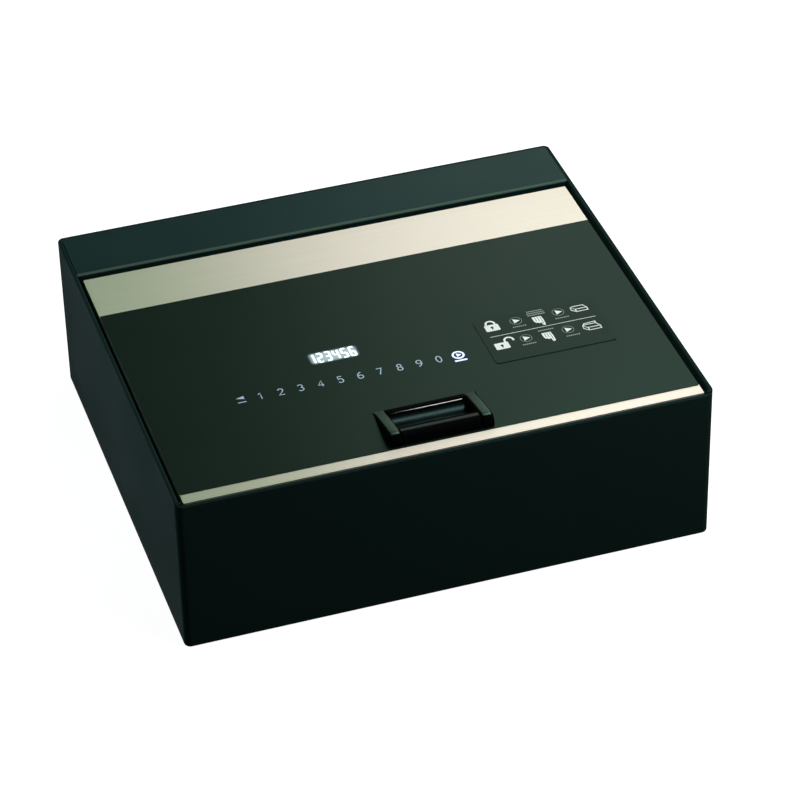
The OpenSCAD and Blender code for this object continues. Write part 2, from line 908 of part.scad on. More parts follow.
module touch_board() {
    color("#1d5a38")
        difference() {
            block([touch_x - touch_w / 2, touch_front, lid_top - touch_t],
                [touch_x + touch_w / 2, touch_rear, lid_top]);
            translate([touch_x + touch_w / 2 - 6, touch_rear - 6, lid_top - touch_t - 1])
                cylinder(h = touch_t + 2, r = 1.6);
            translate([touch_x - touch_w / 2 + 6, touch_rear - 6, lid_top - touch_t - 1])
                cylinder(h = touch_t + 2, r = 1.6);
        }
}

// Display block soldered under the touch board, with its row of pins
module display_module() {
    top = lid_top - touch_t;
    color("#e8e8e8")
        block([display_x - display_w / 2, panel_front + display_y - display_d / 2, top - display_h],
            [display_x + display_w / 2, panel_front + display_y + display_d / 2, top]);
}

// Pull handle

// Side view of the hood: straight tangent from the rear edge to the nose, bulged a little
function hood_slope(steps) =
    let(
        dx = nose_r - grip_d,
        dist = norm([dx, nose_t]),
        toward = atan2(nose_t, dx),
        reach = sqrt(dist * dist - nose_r * nose_r),
        a = toward - asin(nose_r / dist),
        tip = [grip_d, 0] + reach * [cos(a), sin(a)]
    )
    [for (i = [0:steps]) let(u = i / steps) [grip_d, 0] * (1 - u) + tip * u + [0, slope_bulge * 4 * u * (1 - u)]];

module hood_outline() {
    intersection() {
        union() {
            translate([nose_r, nose_t])
                circle(nose_r, $fn = 64);
            polygon(concat([[nose_r, nose_t], [0, nose_t - 0.01], [0, 0], [grip_d, 0]], hood_slope(8)));
        }
        translate([-1, 0])
            square([grip_d + 2, grip_h + 4]);
    }
}

// Places a side view of the handle between x0 and x1
module handle_slice(x0, x1) {
    translate([0, grip_front, panel_top])
        along_x(x0, x1)
            children();
}

module handle_cheeks() {
    bridge_s = scoop_mid_s + scoop_half_s + 0.6;
    color("#141614")
        difference() {
            union() {
                for (side = [-1, 1])
                    on_side(side)
                        handle_slice(cheek_in, grip_half)
                            hood_outline();
                handle_slice(-cheek_in - 1, cheek_in + 1)
                    intersection() {
                        hood_outline();
                        translate([bridge_s, 0])
                            square([grip_d, 2]);
                    }
            }
            for (x = [-1, 1])
                translate([x * (grip_half - cheek_w / 2), grip_front + grip_screw_y, panel_top - 1])
                    cylinder(h = 1 + grip_h * 0.55, r = grip_screw_r + fit);
        }
}

// Hooked bar between the cheeks that the fingers pull on
module grip_bar() {
    inner_r = nose_r - bar_t;
    color("#0c0d0c")
        handle_slice(-cheek_in + slip, cheek_in - slip)
            difference() {
                intersection() {
                    hood_outline();
                    square([bar_depth, grip_h + 2]);
                }
                translate([nose_r, nose_t])
                    circle(inner_r);
                translate([bar_t, -1])
                    square([2 * inner_r, 1 + nose_t]);
                translate([nose_r, -1])
                    square([bar_depth, 1 + bar_lip_t]);
            }
}

// Concave floor of the finger recess, let into the panel and the lid plate
module finger_scoop() {
    color("#0c0d0c")
        translate([0, grip_front + scoop_mid_s, panel_top + scoop_axis_t])
            difference() {
                intersection() {
                    rod_x(-scoop_end_x, scoop_end_x, 0, 0, scoop_r + scoop_t);
                    block([-scoop_end_x, -scoop_out_half_s, -scoop_r - scoop_t - 1],
                        [scoop_end_x, scoop_out_half_s, -scoop_axis_t]);
                }
                rod_x(-cheek_in, cheek_in, 0, 0, scoop_r);
            }
}

module handle_screws() {
    len = panel_top - plate_bottom + grip_h * 0.45;
    color("#b7babd")
        for (x = [-1, 1])
            screw_up(x * (grip_half - cheek_w / 2), grip_front + grip_screw_y, plate_bottom, grip_screw_r, len, 2.8, 2);
}

// Bolt work

module locking_bolt(side) {
    color("#c9ccd0")
        on_side(side)
            difference() {
                translate([bolt_span / 2, bolt_tail, bolt_z])
                    rotate([90, 0, 0]) {
                        cylinder(h = bolt_len - 1, r = bolt_r);
                        translate([0, 0, bolt_len - 1])
                            cylinder(h = 1, r1 = bolt_r, r2 = bolt_r - 1);
                    }
                rod_y(bolt_tail - 12, bolt_tail + 1, bolt_span / 2, bolt_z, bolt_screw_r + fit);
            }
}

module locking_bolt_left() { locking_bolt(-1); }
module locking_bolt_right() { locking_bolt(1); }

// Bar that joins the two bolts and takes the rack
module bolt_crossbar() {
    color("#9a9ea2")
        difference() {
            block([-crossbar_w / 2, crossbar_front, crossbar_z - crossbar_h / 2],
                [crossbar_w / 2, crossbar_front + crossbar_d, crossbar_z + crossbar_h / 2]);
            for (x = [-1, 1])
                rod_y(crossbar_front - 1, crossbar_front + crossbar_d + 1, x * bolt_span / 2, crossbar_z, bolt_screw_r + fit);
            for (x = [-1, 1])
                block([x * bolt_span / 4 - 12, crossbar_front - 1, crossbar_z - crossbar_h / 2 + 2.5],
                    [x * bolt_span / 4 + 12, crossbar_front + crossbar_d + 1, crossbar_z + crossbar_h / 2 - 2.5]);
        }
}

module crossbar_screws() {
    color("#b7babd")
        for (x = [-1, 1])
            translate([x * bolt_span / 2, crossbar_front + crossbar_d, crossbar_z])
                rotate([90, 0, 0]) {
                    cylinder(h = crossbar_d + 9, r = bolt_screw_r);
                    difference() {
                        translate([0, 0, -1.2 * bolt_screw_r])
                            cylinder(h = 1.2 * bolt_screw_r, r = 1.68 * bolt_screw_r);
                        translate([0, 0, -1.6 * bolt_screw_r])
                            cylinder(h = 1.2 * bolt_screw_r, r = 0.8 * bolt_screw_r, $fn = 6);
                    }
                }
}

// Steel block under the lid plate that a bolt slides through
module bolt_guide(side) {
    low = case_bottom + case_t + rest_gap;
    color("#7d8286")
        on_side(side)
            difference() {
                block([bolt_span / 2 - guide_w / 2, guide_front, low],
                    [bolt_span / 2 + guide_w / 2, guide_front + guide_d, plate_bottom]);
                rod_y(guide_front - 1, guide_front + guide_d + 1, bolt_span / 2, bolt_z, bolt_r + fit);
            }
}

module bolt_guide_left() { bolt_guide(-1); }
module bolt_guide_right() { bolt_guide(1); }

// Involute of the base circle, as the polar angle that the flank has turned by at radius r
function involute(r) =
    let(t = sqrt(max(0, pow(r / base_r, 2) - 1)))
    t * 180 / PI - atan(t);

// Half the angle that a pinion tooth fills at radius r
function half_tooth(r) =
    90 / pinion_teeth - lash / 2 / pitch_r * 180 / PI / 2 + involute(pitch_r) - involute(r);

module pinion_outline() {
    flank = [for (i = [0:5]) let(r = max(base_r, root_r) + (tip_r - max(base_r, root_r)) * i / 5) r];
    circle(root_r);
    for (k = [0:pinion_teeth - 1])
        rotate(180 + 360 * (k + 0.5) / pinion_teeth)
            polygon(concat(
                [(root_r - 0.4) * [cos(half_tooth(base_r)), -sin(half_tooth(base_r))]],
                [for (r = flank) r * [cos(half_tooth(r)), -sin(half_tooth(r))]],
                [for (i = [5:-1:0]) flank[i] * [cos(half_tooth(flank[i])), sin(half_tooth(flank[i]))]],
                [(root_r - 0.4) * [cos(half_tooth(base_r)), sin(half_tooth(base_r))]]
            ));
}

// Spur pinion with its hub and shaft
module drive_pinion() {
    color("#d9c27a")
        translate([pinion_x, pinion_y, 0]) {
            translate([0, 0, gear_z])
                linear_extrude(gear_face)
                    pinion_outline();
            translate([0, 0, gear_z + gear_face])
                cylinder(h = 0.6, r = shaft_r + 1.5);
            translate([0, 0, gear_z - 1])
                cylinder(h = gearbox_under - gear_z + 7, r = shaft_r);
        }
}

// Half the width of a rack tooth, up to x past the pitch line
function rack_half(x) = tooth_pitch / 4 - lash / 4 - x * tan(20);

// Toothed bar screwed to the crossbar, with its teeth towards the pinion
module drive_rack() {
    back = 1.25 * gear_module;
    color("#b9a15a")
        translate([0, 0, gear_z])
            linear_extrude(gear_face) {
                translate([rack_x - rack_w, rack_rear])
                    square([rack_w - back, rack_len]);
                for (k = [-rack_teeth_front:rack_teeth_back])
                    translate([rack_x, pinion_y + k * tooth_pitch])
                        polygon([
                            [-back - 0.1, -rack_half(-back)],
                            [-back, -rack_half(-back)],
                            [gear_module, -rack_half(gear_module)],
                            [gear_module, rack_half(gear_module)],
                            [-back, rack_half(-back)],
                            [-back - 0.1, rack_half(-back)]
                        ]);
            }
}

// Flat gearbox under the lid plate, with the bore that the pinion shaft turns in
module gearbox_case() {
    color("#2f3336")
        difference() {
            block([pinion_x - gearbox_w / 2, pinion_y - gearbox_d / 2, gearbox_under],
                [pinion_x + gearbox_w / 2, pinion_y + gearbox_d / 2, plate_bottom]);
            translate([pinion_x, pinion_y, gearbox_under - 1])
                cylinder(h = 9, r = shaft_r + fit);
            for (x = [-1, 1], y = [-1, 1])
                translate([pinion_x + x * (gearbox_w / 2 - 3.5), pinion_y + y * (gearbox_d / 2 - 3.5), gearbox_under - 1])
                    cylinder(h = 2.5, r = 2);
        }
}

// Motor can lying beside the gearbox
module lock_motor() {
    start = pinion_x + gearbox_w / 2;
    y = pinion_y + gearbox_d / 2 - motor_r - 2;
    z = plate_bottom - motor_r - 0.4;
    color("#a8acb0") {
        rod_x(start, start + motor_len, y, z, motor_r);
        rod_x(start + motor_len, start + motor_len + 1.4, y, z, 2);
        for (side = [-1, 1])
            block([start + motor_len, y + side * 3.4 - 0.8, z - 0.3],
                [start + motor_len + 3, y + side * 3.4 + 0.8, z + 0.3]);
    }
}

// Electronics

module board_spacers() {
    color("#c8c8c0")
        for (x = [-1, 1], y = [-1, 1])
            translate([board_x + x * (board_w / 2 - 5), board_y + y * (board_d / 2 - 5), 0]) {
                translate([0, 0, board_top])
                    cylinder(h = plate_bottom - board_top, r = spacer_r);
                translate([0, 0, board_top - board_t - 1])
                    cylinder(h = plate_bottom - board_top + board_t + 1 + plate_t * 0.6, r = 1.2);
            }
}

// Lock control board with its main components, hung on the spacers
module control_board() {
    low = board_top - board_t;
    color("#1d5a38")
        difference() {
            union() {
                block([board_x - board_w / 2, board_y - board_d / 2, low],
                    [board_x + board_w / 2, board_y + board_d / 2, board_top]);
                block([board_x - 9, board_y - 9, low - 1.6], [board_x + 9, board_y + 9, low]);
                block([board_x - 28, board_y + 12, low - 5], [board_x - 12, board_y + 20, low]);
                block([board_x + 10, board_y + 13, low - 5], [board_x + 26, board_y + 20, low]);
                translate([board_x - 24, board_y - 8, low - 5])
                    cylinder(h = 5, r = 6);
                for (k = [0:2])
                    translate([board_x + 16 + 7 * k - 4, board_y - 16, low - 7])
                        cylinder(h = 7, r = 2.6);
            }
            for (x = [-1, 1], y = [-1, 1])
                translate([board_x + x * (board_w / 2 - 5), board_y + y * (board_d / 2 - 5), low - 1])
                    cylinder(h = board_t + 2, r = 1.2 + fit);
        }
}

// Lock case

function cover_screw_places() =
    let(x = case_w / 2 + case_flange / 2)
    [
        for (side = [-1, 1], k = [0:2]) [side * x, case_front + 14 + k * (case_d - 24) / 2],
        for (side = [-1, 1]) [side * case_w / 4, case_rear + case_flange / 2]
    ];

// Folded cover round the bolt work, open to the lid plate
module inner_cover() {
    low = case_bottom;
    top = plate_bottom;
    mouth_w = tray_w - 2 * tray_t;
    mouth_d = tray_d - 2 * tray_t;
    color("#25302d")
        difference() {
            union() {
                block([-case_w / 2, case_front, low], [case_w / 2, case_rear, top]);
                block([-case_w / 2 - case_flange, case_front, top - case_t],
                    [case_w / 2 + case_flange, case_rear + case_flange, top]);
                door_rails();
            }
            block([-case_w / 2 + case_t, case_front + case_t, low + case_t],
                [case_w / 2 - case_t, case_rear - case_t, top + 1]);
            for (x = [-1, 1])
                rod_y(case_front - 1, case_front + case_t + 1, x * bolt_span / 2, bolt_z, bolt_r + 0.6);
            block([tray_x - mouth_w / 2, tray_y - mouth_d / 2, low - 1],
                [tray_x + mouth_w / 2, tray_y + mouth_d / 2, low + case_t + 1]);
            for (p = cover_screw_places())
                translate([p[0], p[1], top - case_t - 1])
                    cylinder(h = case_t + 2, r = 1.5 + fit);
        }
}

// Two rails under the cover that hold the battery door
module door_rails() {
    reach = door_d / 2 + 0.4;
    for (s = [-1, 1]) {
        block([tray_x - door_w / 2 - 1, tray_y + (s > 0 ? reach : -reach - rail_t), door_under - rail_t],
            [tray_x + door_w / 2 - 6, tray_y + (s > 0 ? reach + rail_t : -reach), case_bottom]);
        block([tray_x - door_w / 2 - 1, tray_y + (s > 0 ? reach - rail_lip : -reach), door_under - rail_t],
            [tray_x + door_w / 2 - 6, tray_y + (s > 0 ? reach : -reach + rail_lip), door_under - door_gap]);
    }
}

module inner_cover_screws() {
    color("#b7babd")
        for (p = cover_screw_places())
            screw_up(p[0], p[1], plate_bottom - case_t, 1.5, case_t + plate_t * 0.6, 3, 1.8);
}

// Battery bay

// Tray that holds the cells, open downwards to the battery door
module battery_tray() {
    color("#1a1c1b")
        difference() {
            block([tray_x - tray_w / 2, tray_y - tray_d / 2, tray_floor],
                [tray_x + tray_w / 2, tray_y + tray_d / 2, tray_floor + tray_h]);
            block([tray_x - tray_w / 2 + tray_t, tray_y - tray_d / 2 + tray_t, tray_floor - 1],
                [tray_x + tray_w / 2 - tray_t, tray_y + tray_d / 2 - tray_t, tray_floor + tray_h - tray_t]);
        }
}

function cell_x(k) = tray_x + (k - (cell_count - 1) / 2) * cell_pitch;

module battery_cells() {
    button = 1.3;
    color("#8d6b2f")
        for (k = [0:cell_count - 1])
            translate([cell_x(k), tray_y, cell_z])
                rotate([k % 2 == 0 ? 90 : -90, 0, 0])
                    translate([0, 0, -cell_len / 2]) {
                        cylinder(h = cell_len - button, r = cell_r);
                        cylinder(h = cell_len, r = 2.7);
                    }
}

// Contact plates at both ends of the cells, with a pressed stud for each flat end
module battery_contacts() {
    plate = 0.5;
    inner = tray_d / 2 - tray_t;
    stud = inner - plate - cell_len / 2 - 0.2;
    color("#d0d3d6")
        for (end = [-1, 1])
            for (k = [0:cell_count - 1])
                translate([cell_x(k), tray_y + end * (inner - plate / 2), cell_z]) {
                    cube([cell_pitch - 1.5, plate, cell_r * 1.4], center = true);
                    rotate([end > 0 ? 90 : -90, 0, 0])
                        cylinder(h = plate / 2 + stud, r1 = 4, r2 = 2);
                }
}

// Sliding door over the cells, with finger ribs
module battery_door() {
    color("#202422") {
        block([tray_x - door_w / 2, tray_y - door_d / 2, door_under],
            [tray_x + door_w / 2, tray_y + door_d / 2, door_top]);
        for (k = [0:4])
            block([tray_x - door_w / 2 + 6 + 3 * k, tray_y - 12, door_under - 0.8],
                [tray_x - door_w / 2 + 7.2 + 3 * k, tray_y + 12, door_under]);
    }
}

body_shell();
rear_deck();
lid_rest_frame();
rest_buffers();
floor_mat();
hinge_bracket_left();
hinge_bracket_right();
hinge_pin_left();
hinge_pin_right();
torsion_spring_left();
torsion_spring_right();
bracket_nuts();
lid_plate();
cover_sheet();
control_panel();
instruction_label();
touch_board();
display_module();
handle_cheeks();
grip_bar();
finger_scoop();
handle_screws();
hinge_leaf_left();
hinge_leaf_right();
hinge_leaf_screws();
bolt_guide_left();
bolt_guide_right();
lock_motor();
gearbox_case();
control_board();
board_spacers();
inner_cover();
inner_cover_screws();
battery_tray();
battery_cells();
battery_contacts();
locking_bolt_left();
locking_bolt_right();
bolt_crossbar();
drive_rack();
crossbar_screws();
drive_pinion();
battery_door();
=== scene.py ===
# %% [markdown]
# # A top-opening drawer safe
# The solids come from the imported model, in metres and in their final places, and stay as they are. This
# script gives every piece the surface of its real material, and adds what is printed, lit, wound or moulded
# too finely for the solids.

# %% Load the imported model
import json
import math
import bmesh
import bpy
import numpy as np
from mathutils import Matrix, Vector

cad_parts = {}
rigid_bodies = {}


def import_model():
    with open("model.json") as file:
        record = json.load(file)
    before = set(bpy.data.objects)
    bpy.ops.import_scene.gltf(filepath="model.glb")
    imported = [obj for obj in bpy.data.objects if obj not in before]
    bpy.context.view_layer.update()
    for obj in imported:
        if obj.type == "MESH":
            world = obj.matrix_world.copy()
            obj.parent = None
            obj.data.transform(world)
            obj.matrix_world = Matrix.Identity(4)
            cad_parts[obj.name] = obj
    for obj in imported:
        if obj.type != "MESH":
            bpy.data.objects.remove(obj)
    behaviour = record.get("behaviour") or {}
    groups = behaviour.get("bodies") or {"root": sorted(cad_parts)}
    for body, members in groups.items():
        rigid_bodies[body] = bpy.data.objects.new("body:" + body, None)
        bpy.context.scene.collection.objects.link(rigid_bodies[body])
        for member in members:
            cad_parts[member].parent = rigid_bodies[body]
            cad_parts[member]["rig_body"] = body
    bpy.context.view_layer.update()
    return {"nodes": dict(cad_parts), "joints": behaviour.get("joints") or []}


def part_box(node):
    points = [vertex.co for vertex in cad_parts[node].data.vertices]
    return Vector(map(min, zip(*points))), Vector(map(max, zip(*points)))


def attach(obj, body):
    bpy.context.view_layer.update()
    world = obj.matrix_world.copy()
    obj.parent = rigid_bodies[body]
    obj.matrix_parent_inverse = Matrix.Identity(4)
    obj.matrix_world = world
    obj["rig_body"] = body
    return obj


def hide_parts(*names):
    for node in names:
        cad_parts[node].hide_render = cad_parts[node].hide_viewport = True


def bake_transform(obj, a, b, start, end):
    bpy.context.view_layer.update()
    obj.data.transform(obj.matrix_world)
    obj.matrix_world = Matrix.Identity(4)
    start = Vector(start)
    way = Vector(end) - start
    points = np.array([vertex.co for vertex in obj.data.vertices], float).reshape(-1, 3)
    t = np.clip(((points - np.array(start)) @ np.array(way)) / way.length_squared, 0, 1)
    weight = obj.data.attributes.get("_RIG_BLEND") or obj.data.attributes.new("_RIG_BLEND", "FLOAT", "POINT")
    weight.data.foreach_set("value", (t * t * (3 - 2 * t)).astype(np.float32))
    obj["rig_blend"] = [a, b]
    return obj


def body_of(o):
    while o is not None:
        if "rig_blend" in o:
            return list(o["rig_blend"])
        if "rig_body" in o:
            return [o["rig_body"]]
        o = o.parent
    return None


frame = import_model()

MM = 0.001
nodes = frame["nodes"]

# %% [markdown]
# ## Camera
# The photograph was taken from a little to the left and about 36 degrees up, through a long lens. A camera
# set by eye couldn't be laid over it, so its place was solved from the seven corners of the tub that show.
# The slides are how far the lens axis passes beside the origin.

# %% Camera at the photograph's viewing angle
AZIMUTH = math.radians(-17.308)
ELEVATION = math.radians(36.5006)
ROLL = math.radians(-1.302)
DISTANCE = 2643.445 * MM
SLIDE_RIGHT = 16.4745 * MM
SLIDE_UP = 39.1558 * MM
FOCAL_LENGTH_PX = 3461.748
FRAME_PX = 800
SENSOR = 36.0


def placed(name, data, place=(0.0, 0.0, 0.0), axes=np.eye(3)):
    """A mesh, a lamp or a camera as an object of the scene, with its origin at a place and its three axes."""
    made = bpy.data.objects.new(name, data)
    bpy.context.scene.collection.objects.link(made)
    made.matrix_world = Matrix([*np.column_stack([axes, place]).tolist(), (0, 0, 0, 1)])
    return made


level_right = np.array([math.cos(AZIMUTH), math.sin(AZIMUTH), 0.0])
level_back = np.array([math.sin(AZIMUTH), -math.cos(AZIMUTH), 0.0])
back = math.cos(ELEVATION) * level_back + math.sin(ELEVATION) * np.array([0.0, 0.0, 1.0])
level_up = np.cross(back, level_right)
right = math.cos(ROLL) * level_right + math.sin(ROLL) * level_up
up = math.cos(ROLL) * level_up - math.sin(ROLL) * level_right

eye = DISTANCE * back + SLIDE_RIGHT * right + SLIDE_UP * up
camera = placed("camera", bpy.data.cameras.new("camera"), eye, np.column_stack([right, up, back]))
camera.data.sensor_width = SENSOR
camera.data.lens = FOCAL_LENGTH_PX / FRAME_PX * SENSOR
bpy.context.scene.camera = camera
print("camera at", eye.round(3), "lens", round(camera.data.lens, 1))

# %% [markdown]
# ## Nodes and colours
# Colours are chosen on screen, so they are written as sRGB hex, and one function turns them into the linear
# values that a shader works in. Another adds any node with its settings and links. The Object coordinate
# gives every pattern its real size in metres, which a UV map would need more work for.

# %% Helpers for nodes
def linear(code):
    """sRGB hex to linear RGBA: c / 12.92 below 0.04045, and ((c + 0.055) / 1.055) ** 2.4 above."""
    c = np.array([int(code[i:i + 2], 16) for i in (1, 3, 5)]) / 255
    return (*np.where(c <= 0.04045, c / 12.92, ((c + 0.055) / 1.055) ** 2.4), 1.0)


def add(tree, kind, inputs=(), **settings):
    """Adds a node and returns its outputs. Its type is ShaderNode and the kind, and its settings are its
    attributes. Inputs are given by name or number, each as a value or as the output that feeds it."""
    node = tree.nodes.new("ShaderNode" + kind)
    for key, value in settings.items():
        setattr(node, key, value)
    for key, value in dict(inputs).items():
        if isinstance(value, bpy.types.NodeSocket):
            tree.links.new(value, node.inputs[key])
        else:
            node.inputs[key].default_value = value
    return node.outputs


def blank(name, **sockets):
    """A new material with constants on its shader's own sockets (a space in a name is written _)."""
    material = bpy.data.materials.new(name)
    material.use_nodes = True
    shader = material.node_tree.nodes["Principled BSDF"]
    for key, value in sockets.items():
        shader.inputs[key.replace("_", " ")].default_value = value
    return material, material.node_tree, shader


def feed(tree, shader, **sources):
    """Links outputs into the shader's inputs, named in the same way."""
    for key, source in sources.items():
        tree.links.new(source, shader.inputs[key.replace("_", " ")])


print("screen grey is", round(linear("#808080")[0], 3), "in linear light")

# %% [markdown]
# ## Two scales in a finish
# A real surface varies twice: slowly, where it is rubbed, thick or thin, and finely, as grain. Both are one
# soft noise at two sizes. The slow one moves colour and roughness, the fine one a shallow relief. Screws,
# inks and other small or smooth pieces do with the slow one.

# %% Helpers for finishes
NOISE_LOW = 0.3
NOISE_HIGH = 0.7


def blotches(tree, size, stretch=(1, 1, 1), detail=2.0):
    """A soft noise from 0 to 1 in blotches about `size` metres wide, longer along an axis by `stretch`.
    Nearly all its values lie between NOISE_LOW and NOISE_HIGH."""
    place = add(tree, "TexCoord")["Object"]
    spread = add(tree, "Mapping", {"Vector": place, "Scale": tuple(1 / s for s in stretch)})
    return add(tree, "TexNoise", {"Vector": spread[0], "Scale": 1 / size, "Detail": detail})[0]


def relief(tree, height, depth):
    """The normal of a surface that a pattern lifts by up to `depth` metres."""
    return add(tree, "Bump", {"Height": height, "Distance": depth})[0]


def along(tree, coordinate, axis):
    """One axis of the place on the piece (Object), or of the direction that a face looks in (Normal)."""
    vector = add(tree, "TexCoord")[coordinate]
    return add(tree, "SeparateXYZ", {0: vector})[axis]


def mottle(tree, size, dark, light, stretch=(1, 1, 1)):
    """Blotches that run from a dark to a light colour. Returns the colour and the bare pattern."""
    pattern = blotches(tree, size, stretch)
    tone = add(tree, "Mix", {0: pattern, 6: linear(dark), 7: linear(light)}, data_type="RGBA")
    return tone[2], pattern


def surface(name, dark, light, size, roughness, swing=0.05, grain=0.0, depth=0.0, stretch=(1, 1, 1),
            **sockets):
    """Blotches of `size` metres that vary colour and roughness and, with a depth, a grain of `grain` metres
    that stands `depth` metres high."""
    material, tree, shader = blank(name, **sockets)
    colour, pattern = mottle(tree, size, dark, light, stretch)
    rough = add(tree, "MapRange", {
        "Value": pattern, "From Min": NOISE_LOW, "From Max": NOISE_HIGH,
        "To Min": roughness - swing, "To Max": roughness + swing})
    feed(tree, shader, Base_Color=colour, Roughness=rough[0])
    if depth:
        feed(tree, shader, Normal=relief(tree, blotches(tree, grain, stretch), depth))
    return material


print("noise runs from about", NOISE_LOW, "to", NOISE_HIGH)

# %% [markdown]
# ## Powder-coated steel
# The tub and the deck are folded sheet under a fine powder coat, a very dark green-grey. Baked powder keeps
# a faint orange peel, about a millimetre across and a few micrometres deep, which breaks up reflections. The
# tub's coat is matt and hardly mirrors. The deck's is satin with a soft sheen.

# %% Powder coats
SHEEN = linear("#84ffcb")
CLOUD = 45 * MM
ORANGE_PEEL = {"grain": 1.0 * MM, "depth": 0.006 * MM}
tub_coat = surface("Powder-coated steel, matt green-black", "#253d3a", "#29413e", CLOUD, 0.64, 0.03,
                   Specular_IOR_Level=0.006, Specular_Tint=SHEEN, **ORANGE_PEEL)
deck_coat = surface("Powder-coated steel, satin green-black", "#102929", "#132c2c", CLOUD, 0.38, 0.03,
                    Specular_IOR_Level=0.14, Specular_Tint=linear("#a8ffd6"), **ORANGE_PEEL)
# Inside, the frame and the plate have a plainer coat, and the lock case a greyer one with a deeper peel.
frame_coat = surface("Powder-coated steel, inner frame", "#1b2826", "#1f2e2b", 40 * MM, 0.55, 0.04,
                     Specular_IOR_Level=0.2, **ORANGE_PEEL)
case_coat = surface("Powder-coated steel, lock case", "#2b3432", "#303a38", 40 * MM, 0.5, 0.04,
                    grain=0.9 * MM, depth=0.008 * MM, Specular_IOR_Level=0.3)
print("powder coats:", len(bpy.data.materials))

# %% [markdown]
# ## Painted highlight on bends, painted shade on rims
# Over the deck's bends a paler tone is painted in as a highlight, and the tops of the tub's walls get a darker
# tone as painted shade, which makes them look nearly black. Both could be painted by hand. Here a face's
# normal tells how far it points up, and that mixes in a second colour.

# %% Tones that follow the shape
# Strength of the painted highlight on the deck's bends, and of the painted shade on the tub's wall tops.
BEND_HIGHLIGHT = 0.42
RIM_SHADE = 0.65
RIM_FROM = 0.6


def other_tone(material, code, share):
    """Mixes a second colour into a coat, by a share from 0 to 1 that differs over the piece."""
    tree = material.node_tree
    shader = tree.nodes["Principled BSDF"]
    coat = shader.inputs["Base Color"].links[0].from_socket
    tone = add(tree, "Mix", {0: share, 6: coat, 7: linear(code)}, data_type="RGBA")
    feed(tree, shader, Base_Color=tone[2])


def paint_bend_highlight(material, code):
    """Painted highlight: a paler tone whose share is 4 * z * (1 - z) times the strength above, where z is how
    far
    the face points up: 0 on a wall, 1 on top. So it is greatest half-way round a bend, and nothing on the
    flats."""
    tree = material.node_tree
    rise = along(tree, "Normal", "Z")
    fall = add(tree, "Math", {0: 1.0, 1: rise}, operation="SUBTRACT")[0]
    hump = add(tree, "Math", {0: rise, 1: fall}, operation="MULTIPLY")[0]
    painted_highlight = add(tree, "Math", {0: hump, 1: 4 * BEND_HIGHLIGHT}, operation="MULTIPLY", use_clamp=True)
    other_tone(material, code, painted_highlight[0])


def paint_rim_shade(material, code):
    """Painted shade: a darker tone whose share grows evenly from 0, where a face points up by RIM_FROM, to its
    full strength on top.
    """
    tree = material.node_tree
    rise = along(tree, "Normal", "Z")
    rim = add(tree, "MapRange", {"Value": rise, "From Min": RIM_FROM, "To Max": RIM_SHADE})
    other_tone(material, code, rim[0])


# Paler tone on the deck's bends: painted highlight.
paint_bend_highlight(deck_coat, "#7d9384")
# Darker tone on the tops of the tub's walls: painted shade.
paint_rim_shade(tub_coat, "#0a1212")
print("bends up to", BEND_HIGHLIGHT, "paler, rims", RIM_SHADE, "darker")

# %% [markdown]
# ## Plated, ground and drawn metal
# Bare metals are full mirrors of one tone, and their grain tells them apart. Zinc is a little cloudy, ground
# pins show the wheel's fine lines, and drawn wire is dark under its oil. The lines are a stretched noise.

# %% Bare metals
# Clear passivated zinc gives a cold, dull grey. On small screw heads it looks brighter.
zinc_plate = surface("Zinc-plated steel, clear passivated", "#a9aeb2", "#c3c7c6", 7 * MM, 0.5, 0.08,
                     grain=0.5 * MM, depth=0.003 * MM, Metallic=1.0)
screw_zinc = surface("Zinc-plated steel, screw heads", "#9fa3a6", "#bfc2c2", 3 * MM, 0.3, 0.08,
                     Metallic=1.0)
# Ground bolts and pins give sharp, bright highlights.
ground_steel = surface("Ground and polished steel", "#b9bcc0", "#cfd1d3", 4 * MM, 0.2, 0.05,
                       grain=0.12 * MM, depth=0.001 * MM, stretch=(1, 12, 1), Metallic=1.0)
# Oiled spring wire gives dark turns with a thin light line on each.
spring_steel = surface("Drawn spring steel wire, oiled", "#4c4f52", "#6b6e70", 3 * MM, 0.33, 0.08,
                       Metallic=1.0)
# Nickel is warmer than zinc: satin on the drawn can, bright on the spring strip.
motor_can = surface("Drawn nickel-plated motor can", "#a6a59f", "#bdbbb4", 6 * MM, 0.28, 0.06,
                    grain=0.2 * MM, depth=0.001 * MM, stretch=(14, 1, 1), Metallic=1.0)
nickel = surface("Nickel-plated contact spring strip", "#b8b3a6", "#cfcbbf", 4 * MM, 0.22, Metallic=1.0)
# Cut brass gives yellow teeth with a soft shine.
brass = surface("Machined brass, gear teeth", "#b08d45", "#c9a75c", 3 * MM, 0.28, 0.07,
                grain=0.15 * MM, depth=0.0015 * MM, Metallic=1.0)
print("coats and metals:", len(bpy.data.materials))

# %% [markdown]
# ## Brushed champagne sheet
# Anodised aluminium that was drawn under an abrasive belt along the lid's width. Each scratch is a tenth of
# a millimetre wide and some centimetres long, so a noise that is drawn out along the lid drives colour,
# roughness and a shallow relief. It is over twice as coarse as real scratches, or none would show in the
# render. Anisotropy spreads the highlight across them. A full metal would go black on the left in this light,
# so the metal's share is small.

# %% Brushed aluminium
SCRATCH_WIDTH = 0.25 * MM
SCRATCH_STRETCH = (220, 1, 1)
BAND_WIDTH = 2.5 * MM
BAND_STRETCH = (120, 1, 1)
BAND_SHARE = 0.4
# The tone runs from green-grey on the left to cream on the right: painted shade on the left, painted light on
# the right.
SHADED_GREEN_UP_TO = -205 * MM
LIT_CREAM_FROM = 10 * MM


